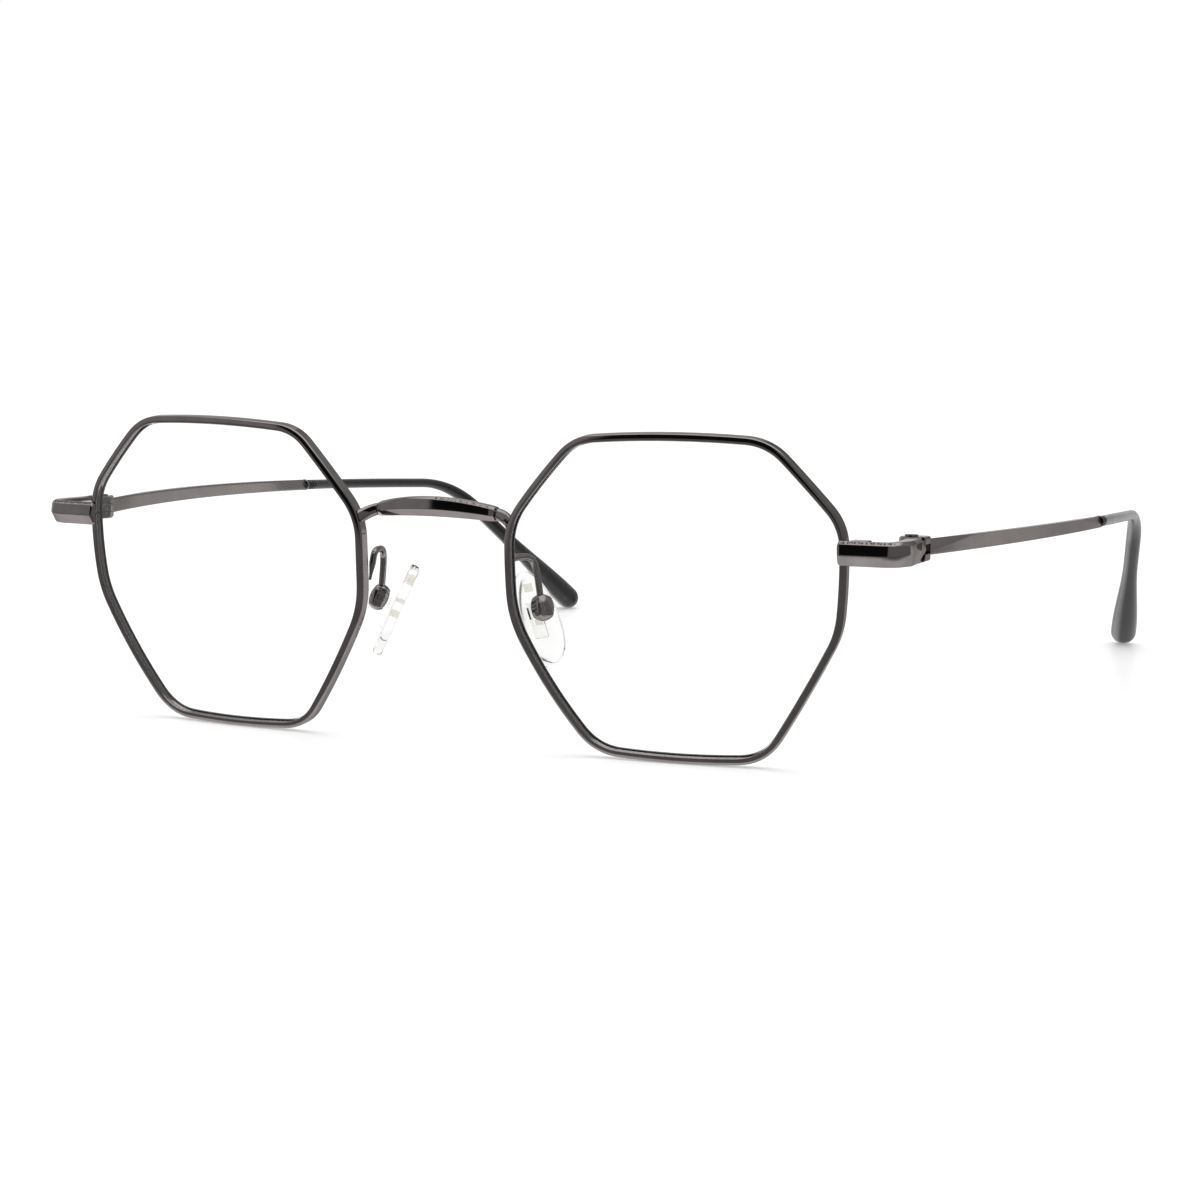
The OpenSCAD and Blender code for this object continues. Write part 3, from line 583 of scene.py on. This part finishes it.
def end_stations():
    front_y = END_RIM.y - RIM_D / 2 - FRONT_WALL - FRONT_GAP
    corner_x = PIN.x + BARREL_R + CORNER_OUT
    turn = Vector((END_RIM.x + TURN_OUT, front_y + TURN_BACK, END_Z))
    start = Vector((END_RIM.x - RIM_LAP, front_y, END_Z))
    corner = Vector((corner_x, front_y + CORNER_BACK, END_Z))
    last = Vector((corner_x, front_y + CORNER_END, END_Z))
    stop = Vector((PIN.x + BARREL_R + CHEEK, PIN.y - MITRE_END, END_Z))
    thin = (PIN.y - MITRE_BACK - last.y) / (stop.y - last.y)
    path = [mix(start, turn, k / FRONT_STEPS) for k in range(FRONT_STEPS)]
    path += [bezier2(turn, corner, last, k / TURN_STEPS) for k in range(TURN_STEPS)]
    path += [mix(last, stop, thin * k / (THIN_STEPS - 1)) for k in range(THIN_STEPS)]
    path += [mix(last, stop, mix(thin + HAIR, 1, k / CHEEK_STEPS)) for k in range(CHEEK_STEPS + 1)]
    run, stations = 0.0, []
    for i, p in enumerate(path):
        run += (p - path[i - 1]).length if i else 0
        turned = (i - FRONT_STEPS) / TURN_SPAN
        wall = FRONT_WALL + (END_T - FRONT_WALL) * smooth(turned * 1.6)
        cheek = i - len(path) + CHEEK_STEPS + 1
        if cheek >= 0:
            wall = CHEEK - CHEEK_FIT
        band = milled(run, END_PITCH) if END_BAND_FROM < run < END_BAND_TO else 0.0
        ease = END_EASE * max(0, 1 - run / END_EASE) ** 2
        h = END_H / 2 - ease
        ridge = -RIDGE_DROP * (1 - smooth(turned * 1.4))
        under = mix(UNDER_FRONT, UNDER_CHEEK, smooth((turned - TAPER_FROM) / TAPER_LEN))
        edge = TOP_BEVEL * (1 - 0.8 * smooth(turned))
        back = 0.25 * min(1, wall)
        section = rounded([
            (ease, ridge, 0.1), (under, -h, 0.2), (max(wall, under + 0.02), -h, back),
            (max(wall, edge + 0.47), h, back), (edge + 0.44, h - 0.4 * band, 0.05),
            (edge + 0.2 + band, h - 0.2 - band, 0.04), (edge, h - 0.45, 0.08)], 3)
        ring = ring_at(p, way_at(path, i), section)
        for q in ring:
            q.y += max(0, cheek) / CHEEK_STEPS * mitre_point(q.z - END_Z)
        stations.append(ring)
    return stations


endpiece = draw_out("left_endpiece_body", end_stations())
both_sides(endpiece, "endpiece_body", "endpiece", "front", plating, "gunmetal", angle=28)


# Hinge ears: one rounded block, slotted for the knuckle and bored for the screw
KNUCKLE_H, PIN_R, HEAD_R, HEAD_DEEP = 1.15, 0.65, 0.87, 0.25
PIN_FIT, HEAD_FIT, SLOT_FIT = 0.03, 0.04, 0.15
EAR_R, EAR_BACK, EAR_IN, EAR_LAP = 1.62, 2.3, 0.7, 0.25
# How far the cutters reach from the pin, past the ears' faces
SAW_REACH, DRILL_REACH = 3, 2


def ear_stations():
    out = BARREL_R + CHEEK
    front = EAR_LAP - MITRE_END
    barrel = [(EAR_R * cos(radians(a)), EAR_R * sin(radians(a)), 0) for a in range(-25, -246, -10)]
    plan = rounded([(out, front, 0.1), (BARREL_R + 0.05, front, 0)] + barrel
                   + [(-EAR_IN, EAR_BACK, 0.4), (out, EAR_BACK, 0.5)], 4)
    h = END_H / 2
    stations = []
    for z, inset in ((-h, 0.3), (-h + 0.09, 0.1), (-h + 0.28, 0), (-0.7, 0), (0, 0), (0.7, 0),
                     (h - 0.28, 0), (h - 0.09, 0.1), (h, 0.3)):
        ring = [PIN + Vector((q.x, q.y, z)) for q in moved_out(plan, -inset)]
        for q in ring:
            if q.x > PIN.x + EAR_R and q.y < PIN.y:
                q.y += mitre_point(z)
        stations.append(ring)
    return stations


def cut_away(piece, cutter):
    modifier(piece, "BOOLEAN", object=cutter, operation="DIFFERENCE", solver="EXACT")
    bpy.data.objects.remove(cutter)


def bore(piece, at, radius, low, high):
    """Drills a round hole along Z."""
    bpy.ops.object.select_all(action="DESELECT")
    bpy.ops.mesh.primitive_cylinder_add(vertices=40, radius=radius * MM, depth=(high - low) * MM,
                                        location=row(at + Vector((0, 0, (low + high) / 2))))
    cut_away(piece, bpy.context.active_object)


def block(middle, size):
    """A block with its middle in metres and its size in millimetres, mostly to cut with."""
    bpy.ops.object.select_all(action="DESELECT")
    bpy.ops.mesh.primitive_cube_add(size=1, location=middle, scale=Vector(size) * MM)
    return bpy.context.active_object


ears = draw_out("left_hinge_ears", ear_stations())
slot_end = BARREL_R + SLOT_FIT
cut_away(ears, block(row(PIN + Vector((0, (slot_end - SAW_REACH) / 2, 0))),
                     (2 * SAW_REACH, slot_end + SAW_REACH, KNUCKLE_H + 2 * FACE_FIT)))
bore(ears, PIN, PIN_R + PIN_FIT, -DRILL_REACH, DRILL_REACH)
bore(ears, PIN, HEAD_R + HEAD_FIT, END_H / 2 - HEAD_DEEP, DRILL_REACH)
both_sides(close_up(soft_edges(ears, 0.04, angle=50, segments=2)), "hinge_ears", "temple_hinge",
           "_temple_assembly", plating, "gunmetal")


# Temples: a flat bar, scooped towards its ends, and the round wire that runs inside the tip
START_OUT, START_BACK, BEND_REACH = 0.8, 3.7, 9
START_TURN, BEND_TURN, BEND_FALL = -14, 7.5, 3
START_PULL, BEND_PULL = 40, 35
SCOOP, SCOOP_FRONT, SCOOP_REAR = 0.42, 0.2, 0.22
BAR_OUT, EAR_FIT, CORE_LEN = 0.45, 0.02, 3


def heading(turn, fall):
    turn, fall = radians(turn), radians(fall)
    return Vector((-sin(turn) * cos(fall), cos(turn) * cos(fall), -sin(fall)))


def temple_path(bar_steps=60, bend_steps=26, tip_steps=30):
    way = heading(TIP_TURN, TIP_FALL)
    fall = TIP_ROUND * sin(radians(TIP_FALL))
    drop = TIP_FLAT * TIP_END_W / 2 * cos(radians(TIP_FALL))
    bend = PIN + Vector((BEND_OUT, BEND_BACK, 0))
    bend.z = TIP_LEN * sin(radians(TIP_FALL)) - fall + sqrt(fall ** 2 + drop ** 2)
    bend_way = heading(BEND_TURN, BEND_FALL)
    start = PIN + Vector((START_OUT, START_BACK + SOLDER_FIT, 0))
    near, far = bend - bend_way * BEND_REACH, bend + way * BEND_REACH
    pulled = start + heading(START_TURN, 0) * START_PULL
    pushed = near - bend_way * BEND_PULL
    path = [bezier3(start, pulled, pushed, near, k / bar_steps) for k in range(bar_steps)]
    path += [bezier2(near, bend, far, k / bend_steps) for k in range(bend_steps)]
    path += [mix(far, bend + way * TIP_LEN, k / tip_steps) for k in range(tip_steps + 1)]
    run = [0.0]
    for a, b in zip(path, path[1:]):
        run.append(run[-1] + (b - a).length)
    return path, run, run[bar_steps] + BEND_REACH, way


PATH, RUN, BEND_RUN, TIP_WAY = temple_path()
BAR_RUN = BEND_RUN - TIP_LEAD
JOIN = next(i for i, r in enumerate(RUN) if r >= BAR_RUN)
JOIN_AT = mix(PATH[JOIN - 1], PATH[JOIN], (BAR_RUN - RUN[JOIN - 1]) / (RUN[JOIN] - RUN[JOIN - 1]))
JOIN_WAY = (PATH[JOIN] - PATH[JOIN - 1]).normalized()


def temple_stations():
    def section(s):
        h = mix(BAR_H, BAR_END_H, s)
        scoop = max(1 - smooth(s / SCOOP_FRONT), smooth((s - 1 + SCOOP_REAR) / SCOOP_REAR))
        x, y = BAR_T / 2, h / 2
        depth = SCOOP * scoop
        crease = y - 0.12 - 0.55 * h * scoop
        return rounded([
            (x, -y, 0.28), (x - depth, y, 0.28), (-x + depth, y, 0.28), (-x, crease, 0.14),
            (-x, -y, 0.28)], 4)

    start = PIN + Vector((BAR_OUT, EAR_BACK + EAR_FIT, 0))
    stations = [ring_at(start, Vector((0, 1, 0)), section(0))]
    stations += [ring_at(PATH[i], way_at(PATH, i), section(RUN[i] / BAR_RUN)) for i in range(JOIN)]
    stations.append(ring_at(JOIN_AT, JOIN_WAY, section(1)))
    core = oval(CORE_R, CORE_R, len(stations[0]))
    # Its points are turned to face the bar's corners
    core = core[-3:] + core[:-3]
    stations.append(ring_at(JOIN_AT + JOIN_WAY * 0.02, JOIN_WAY, core))
    stations.append(ring_at(JOIN_AT + JOIN_WAY * CORE_LEN, JOIN_WAY, core))
    return stations


temple = draw_out("left_temple_bar", temple_stations())
both_sides(temple, "temple_bar", "temple", "_temple_assembly", satin_plating, "gunmetal", angle=30)

# Tip rings: a bright collar and a black groove behind it
RING_FROM = JOIN_AT + JOIN_WAY * 0.06
RING_R, RING_BORE = BAR_END_H / 2 + RING_LIP, CORE_R + 0.02
COLLAR_LEN, RING_GROOVE_FROM, RING_GROOVE_DEEP = 0.4, 0.42, 0.16


def turned_ring(name, profile, count=40):
    """A ring turned round the core wire, from a profile of distance along it and radius."""
    return draw_out(name, [ring_at(RING_FROM + JOIN_WAY * along, JOIN_WAY, oval(r, r, count))
                           for along, r in profile])


collar = turned_ring("left_tip_collar", [
    (0, RING_BORE), (0, RING_R - 0.1), (0.04, RING_R - 0.03), (0.1, RING_R), (0.34, RING_R),
    (0.38, RING_R - 0.03), (COLLAR_LEN, RING_R - 0.1), (COLLAR_LEN, RING_BORE)])
both_sides(collar, "tip_collar", "tip_ring", "_temple_assembly", plating, "gunmetal")
groove = turned_ring("left_tip_groove", [
    (RING_GROOVE_FROM, RING_BORE), (RING_GROOVE_FROM, RING_R - RING_GROOVE_DEEP),
    (RING_LEN, RING_R - RING_GROOVE_DEEP), (RING_LEN, RING_BORE)])
both_sides(groove, "tip_groove", None, "_temple_assembly", groove_black, "gunmetal")


# Temple tips: moulded sleeves, slim over the ear and full at the end
MOUTH_FIT, MOUTH_DEEP, CAP_STEPS = 0.04, 0.6, 12


def tip_width(d):
    width = mix(BAR_END_H, TIP_NECK_W, smooth((d + 8) / 16))
    return width + (TIP_END_W - TIP_NECK_W) * smooth((d / TIP_LEN - 0.38) / 0.54)


def tip_stations(count=40):
    def section(w):
        return oval(w / 2, TIP_FLAT * w / 2, count)

    mouth = RING_FROM + JOIN_WAY * (RING_LEN + MOUTH_FIT)
    wall = BAR_END_H / 2
    lip = [(MOUTH_DEEP, wall - 0.3, wall - 0.32), (0, wall - 0.25, wall - 0.27),
           (0, wall - 0.06, TIP_FLAT * wall - 0.06), (0.06, wall, TIP_FLAT * wall)]
    stations = [ring_at(mouth + JOIN_WAY * deep, JOIN_WAY, oval(rx, ry, count)) for deep, rx, ry in lip]
    end = PATH[-1]
    stop = BEND_RUN + TIP_LEN - TIP_ROUND
    stations += [ring_at(PATH[i], way_at(PATH, i), section(tip_width(RUN[i] - BEND_RUN)))
                 for i in range(JOIN + 1, len(PATH)) if RUN[i] < stop - 0.3]
    for k in range(CAP_STEPS):
        a = pi / 2 * k / CAP_STEPS
        place = end - TIP_WAY * TIP_ROUND * (1 - sin(a))
        stations.append(ring_at(place, TIP_WAY, section(TIP_END_W * cos(a))))
    return stations


tip = draw_out("left_tip_sleeve", tip_stations(), [None, PATH[-1]])
both_sides(tip, "tip_sleeve", "temple_tip", "_temple_assembly", tip_plastic, "tip_plastic", angle=50,
           weighted=False)


# Nose pads, built about the middle of their box: X away from the nose, Y across, Z along
PAD_AT = Vector((EYE_X - PAD_IN, PAD_BACK, LENS_Z - PAD_DROP))
TURN = (Matrix.Rotation(radians(-26), 4, "Z") @ Matrix.Rotation(radians(-23.6), 4, "Y")
        @ Matrix.Rotation(radians(-7), 4, "X"))
ROLL = Matrix.Rotation(radians(PAD_ROLL), 4, "X")
PAD_SHIFT = Vector((0, 0.9, -0.7))
BOSS_T = 0.5
# How far in from the pad's outline its rounded edge lies, at each depth from its back
PAD_ROUNDS = [(1.6, 0.0), (0.34, 0.02), (0.16, 0.08), (0.04, 0.22), (0, 0.42), (0, 0.75), (0.03, 1.08),
              (0.14, 1.3), (0.4, 1.43), (1.0, 1.48), (2.2, 1.5)]
# The outline is a little squarer than an oval, and fuller at its lower end
PAD_SQUARE, PAD_FULL = 0.9, 0.16


def on_pad(x, y, z):
    return PAD_AT + TURN @ (ROLL @ Vector((x, y, z)) + PAD_SHIFT)


def pad_outline(inset, x, count=120):
    half, wide = PAD_LEN / 2 - inset, PAD_W / 2 - inset
    ring = []
    for k in range(count):
        a = 2 * pi * k / count
        up = half * (1 if cos(a) >= 0 else -1) * abs(cos(a)) ** PAD_SQUARE
        ring.append(on_pad(x, wide * sin(a) * (1 - PAD_FULL * cos(a)), up))
    return ring


pad_back = -BOX_D / 2 - ROCK_GAP - BOSS_T - SOLDER_FIT
pad_face = pad_back - PAD_T
pad = draw_out("left_pad_cushion", [pad_outline(inset, pad_back - deep) for inset, deep in PAD_ROUNDS],
               [on_pad(pad_back, 0, 0), on_pad(pad_face, 0, 0)])
both_sides(pad, "pad_cushion", "nose_pad", "_pad_assembly", pad_plastic, "pad_plastic", angle=60,
           weighted=False)

stem = soft_edges(copied("left_pad_stem", "left_pad_boss"), 0.12)
both_sides(stem, "pad_boss", "pad_stem", "_pad_assembly", pad_plastic, "pad_plastic")


def put_on_pad(piece, place=None):
    """Sets a piece that was made about the box's middle where the pads are, and applies its place."""
    only(piece)
    piece.matrix_world = Matrix.Translation(row(PAD_AT)) @ TURN @ (place or Matrix.Identity(4))
    bpy.ops.object.transform_apply(location=True, rotation=True, scale=True)
    return piece


# Pad boxes: rounded castings with a pocket at each end of the screw, and a mouth for the stem
MOUTH_W, MOUTH_LEN, MOUTH_REACH, MOUTH_FLOOR = 1.3, 2.6, 4, 0.4
POCKET = (1.1, 0.7, 1.5)
# A finely divided cube is drawn this far towards a ball of this size, then stretched to the box
BOX_CUTS, BALL_SHARE, BALL_SIZE = 17, 0.8, 0.53


def make_box():
    bpy.ops.object.select_all(action="DESELECT")
    bpy.ops.mesh.primitive_cube_add(size=MM)
    piece = bpy.context.active_object
    piece.name = piece.data.name = "left_box_casting"
    in_edit(piece)
    bpy.ops.mesh.subdivide(number_cuts=BOX_CUTS)
    bpy.ops.object.mode_set(mode="OBJECT")
    modifier(piece, "CAST", factor=BALL_SHARE, use_radius_as_size=False, size=BALL_SIZE * MM)
    bpy.ops.transform.resize(value=(BOX_D, BOX_W, BOX_LEN))
    bpy.ops.object.transform_apply(location=True, rotation=True, scale=True)
    for middle, size in (((0, BOX_W / 2, 0), POCKET), ((0, -BOX_W / 2, 0), POCKET),
                         ((BOX_D / 2 - MOUTH_FLOOR - MOUTH_REACH / 2, 0, 0),
                          (MOUTH_REACH, MOUTH_W, MOUTH_LEN))):
        cut_away(piece, block(Vector(middle) * MM, size))
    return put_on_pad(soft_edges(piece, 0.05, angle=60, segments=2))


both_sides(make_box(), "box_casting", "pad_box", "front", plating, "gunmetal")


# The pads' yellowed core: three short flecks inside the clear plastic, each with its height up the pad,
# its width and its length
FLECK_T = 0.5
TOP_FLECK, LOWER_FLECKS = (4.5, 1.4, 1.2), ((1.4, 1.1, 0.5), (-0.5, 1.1, 0.9))


def make_core():
    up, wide, tall = TOP_FLECK
    piece = block((0, 0, up * MM), (FLECK_T, wide, tall))
    piece.name = piece.data.name = "left_pad_core"
    bpy.ops.object.transform_apply(location=True, rotation=True, scale=True)
    bpy.ops.object.mode_set(mode="EDIT")
    for up, wide, tall in LOWER_FLECKS:
        bpy.ops.mesh.primitive_cube_add(size=1, location=(0, 0, up * MM),
                                        scale=Vector((FLECK_T, wide, tall)) * MM)
    bpy.ops.object.mode_set(mode="OBJECT")
    inside = Matrix.Translation(Vector(((pad_back + pad_face) / 2, 0, 0)) * MM)
    return put_on_pad(soft_edges(piece, 0.12), Matrix.Translation(PAD_SHIFT * MM) @ ROLL @ inside)


both_sides(make_core(), "pad_core", None, "_pad_assembly", core_plastic, "pad_plastic")


# Pad arms: wire hooked up and over to the top of its box, with a tapered foot
ARM_BODY_R, FOOT_SHARE, FOOT_STEPS, ARM_STEPS = ARM_R + 0.09, 0.4, 7, 24
FOOT_IN, TOP_IN, BOX_SINK = 0.35, 0.35, 0.3
# The crown stands part of the way from foot to box, and the pulls shape the hook on its two sides
CROWN_SHARE, CROWN_SHIFT, CROWN_PULL, SIDE_PULL = 0.42, Vector((-0.55, 0, 4.05)), 0.46, 0.9


def arm_stations():
    foot = placed(crossing(RIM_LINE, -ARM_FOOT, -1) - FOOT_IN, -ARM_FOOT, RIM_D / 2 + ARM_R + SOLDER_FIT)
    top = PAD_AT + Vector((-TOP_IN, 0, BOX_LEN / 2 - BOX_SINK))
    span = Vector((top.x - foot.x, top.y - foot.y, 0))
    crown = foot + span * CROWN_SHARE + CROWN_SHIFT
    foot_pull = foot + Vector((-0.6, 0.1, (crown.z - foot.z) * SIDE_PULL))
    top_pull = top + Vector((-0.6, -0.3, (crown.z - top.z) * SIDE_PULL))
    path = [bezier3(foot, foot_pull, crown - span * CROWN_PULL, crown, k / ARM_STEPS)
            for k in range(ARM_STEPS)]
    path += [bezier3(crown, crown + span * CROWN_PULL, top_pull, top, k / ARM_STEPS)
             for k in range(ARM_STEPS + 1)]
    stations = []
    for i, p in enumerate(path):
        way = way_at(path, i)
        up = way.cross(Vector((1, 0, 0))).normalized()
        out = up.cross(way)
        r = ARM_BODY_R * mix(FOOT_SHARE, 1, smooth(i / FOOT_STEPS))
        stations.append([p + out * q.x + up * q.y for q in oval(r, r, 20)])
    return stations


arm = draw_out("left_arm_wire", arm_stations())
both_sides(arm, "arm_wire", "pad_arm", "front", plating, "gunmetal", angle=50)


# Small hardware keeps its packed form, with its edges broken by the width at the end of each line
LOCK_SINK, LOCK_MIDDLE = 0.35, 0.6
SMALL = [
    ("front_hinge", "front_knuckle", "front", plating, "gunmetal", 0.12),
    ("hinge_screw", "pin_screw", "_temple_assembly", screw_metal, "screw_steel", 0.05),
    ("rim_lock_upper", "lock_upper_block", "front", plating, "gunmetal", 0.2),
    ("rim_lock_lower", "lock_lower_block", "front", plating, "gunmetal", 0.2),
    ("rim_lock_screw", "lock_screw", "front", screw_metal, "screw_steel", 0.05),
    ("pad_screw", "box_screw", "front", screw_metal, "screw_steel", 0.05)]


def hidden_ends(piece):
    """Draws a lock piece's two ends in behind the endpiece."""
    for side in (-1, 1):
        shape = in_edit(piece)
        bpy.ops.mesh.select_all(action="DESELECT")
        for vert in shape.verts:
            vert.select = side * (vert.co.z / MM - END_Z) > LOCK_MIDDLE
        shape.select_flush_mode()
        bpy.ops.transform.translate(value=(0, 0, -side * LOCK_SINK * MM))
        bpy.ops.object.mode_set(mode="OBJECT")


for node, label, body, metal, kept_slot, width in SMALL:
    part = copied(f"left_{node}", f"left_{label}")
    if "lock" in label:
        hidden_ends(part)
    both_sides(soft_edges(part, width), label, node, body, metal, kept_slot)

# Clear pieces, and the band of painted shade at each lens's edge, let the light through to the floor
for side in SIDES:
    for label in ("lens_blank", "lens_edge", "pad_cushion", "pad_core", "pad_boss"):
        clear = bpy.data.objects[f"{side}_{label}"]
        clear.visible_shadow = False
        clear.visible_diffuse = False


# Studio: a white floor under a white sky and one broad soft light from above
FLOOR_WHITE = 0.88
# The floor's faint gloss mirrors dark cards from some sides, which a lift for camera rays makes up for
FLOOR_GLOSS, FLOOR_ROUGH, FLOOR_LIFT = 0.15, 0.28, 0.15
FLOOR_SIZE = 6
SKY_LEVEL = 0.7
LIGHT_SPREAD = radians(50)
# What the metal mirrors: a black card in front, and over it others, each with its direction, how near to
# that direction it begins and is full, and its level
FRONT_CARD = 0.012
CARDS = [
    ((-1, 0, 0), 0.4, 0.5, 0.42),
    ((1, 0, 0), 0.3, 0.38, 0.26),
    ((0, 0, -1), 0.1, 0.24, 0.22),
    ((-0.35, 0.94, 0), 0.41, 0.5, 1.0),
    ((0.35, 0.8, 0.48), 0.84, 0.88, 0.45),
    ((-0.2, 0.35, -0.92), 0.5, 0.6, 1.05),
    ((0, 0, 1), 0.7, 0.86, 1.45),
    ((-0.63, 0.48, -0.61), 0.93, 0.98, 2.4)]


def make_floor():
    bpy.ops.object.select_all(action="DESELECT")
    bpy.ops.mesh.primitive_plane_add(size=FLOOR_SIZE)
    floor = bpy.context.active_object
    floor.name = "studio_floor"
    floor.visible_glossy = False
    made = bpy.data.materials.new("white_acrylic_floor")
    made.use_nodes = True
    tree = made.node_tree
    tree.nodes.clear()
    path = add(tree, "LightPath").outputs
    seen = add(tree, "Math", {0: path["Is Camera Ray"], 1: path["Is Transmission Ray"]},
               operation="MAXIMUM")
    paint = add(tree, "BsdfDiffuse", {"Color": (FLOOR_WHITE, FLOOR_WHITE, FLOOR_WHITE, 1)})
    glow = add(tree, "Math", {0: seen.outputs[0], 1: 1 - FLOOR_WHITE + FLOOR_LIFT}, operation="MULTIPLY")
    white = add(tree, "Emission", {"Strength": glow.outputs[0]})
    lit = add(tree, "AddShader", {0: paint.outputs[0], 1: white.outputs[0]})
    sheen = add(tree, "BsdfGlossy", {"Color": (1, 1, 1, 1), "Roughness": FLOOR_ROUGH})
    gloss = add(tree, "Math", {0: seen.outputs[0], 1: FLOOR_GLOSS}, operation="MULTIPLY")
    top = add(tree, "MixShader", {0: gloss.outputs[0], 1: lit.outputs[0], 2: sheen.outputs[0]})
    add(tree, "OutputMaterial", {"Surface": top.outputs[0]})
    floor.data.materials.append(made)


def make_world():
    world = bpy.data.worlds.new("studio_surround")
    bpy.context.scene.world = world
    world.use_nodes = True
    world.cycles.sampling_method = "NONE"
    tree = world.node_tree
    tree.nodes.clear()
    path = add(tree, "LightPath").outputs
    way = add(tree, "TexCoord").outputs["Generated"]
    mirrored = FRONT_CARD
    for direction, begins, full, level in CARDS:
        near = add(tree, "VectorMath", {0: way, 1: direction}, operation="DOT_PRODUCT")
        share = add(tree, "MapRange", {"Value": near.outputs["Value"], 1: begins, 2: full},
                    interpolation_type="SMOOTHSTEP")
        mirrored = add(tree, "Mix", {"Factor": share.outputs[0], 2: mirrored, 3: level}).outputs[0]
    lit = add(tree, "Mix", {"Factor": path["Is Glossy Ray"], 2: SKY_LEVEL, 3: mirrored})
    seen = add(tree, "Math", {0: path["Is Camera Ray"], 1: path["Is Transmission Ray"]},
               operation="MAXIMUM")
    strength = add(tree, "Mix", {"Factor": seen.outputs[0], 2: lit.outputs[0], 3: 1.0})
    sky = add(tree, "Background", {"Color": (1, 1, 1, 1), "Strength": strength.outputs[0]})
    add(tree, "OutputWorld", {"Surface": sky.outputs[0]})


def make_light():
    """A broad light straight above tops the sky up to a plain level and draws the contact shadows."""
    bpy.ops.object.light_add(type="SUN", location=(0, 0, 1))
    light = bpy.context.active_object
    light.name = "soft_light_overhead"
    light.data.energy = (1 - SKY_LEVEL) * pi
    light.data.angle = LIGHT_SPREAD
    light.visible_glossy = False


def make_camera():
    """The photograph's camera, from a fit to the rims, the bridge, the pads and the temples."""
    turn, lift, roll = radians(23.902), radians(6.258), radians(0.812)
    distance, focal_share, sensor = 368.88, 2798.2 / 1200, 36
    aim = row((24.797, 0, LENS_Z - 1.1))
    back = Vector((sin(turn) * cos(lift), -cos(turn) * cos(lift), sin(lift)))
    right = Vector((0, 0, 1)).cross(back).normalized()
    up = back.cross(right)
    across = right * cos(roll) + up * sin(roll)
    above = up * cos(roll) - right * sin(roll)
    bpy.ops.object.camera_add()
    camera = bpy.context.active_object
    camera.name = "photo_camera"
    facing = Matrix((across, above, back)).transposed().to_4x4()
    camera.matrix_world = Matrix.Translation(aim + back * distance * MM) @ facing
    camera.data.sensor_width = sensor
    camera.data.lens = focal_share * sensor
    camera.data.clip_start = 0.01
    camera.data.clip_end = 20
    bpy.context.scene.camera = camera


make_floor()
make_world()
make_light()
make_camera()
bpy.context.scene.view_settings.view_transform = "Standard"
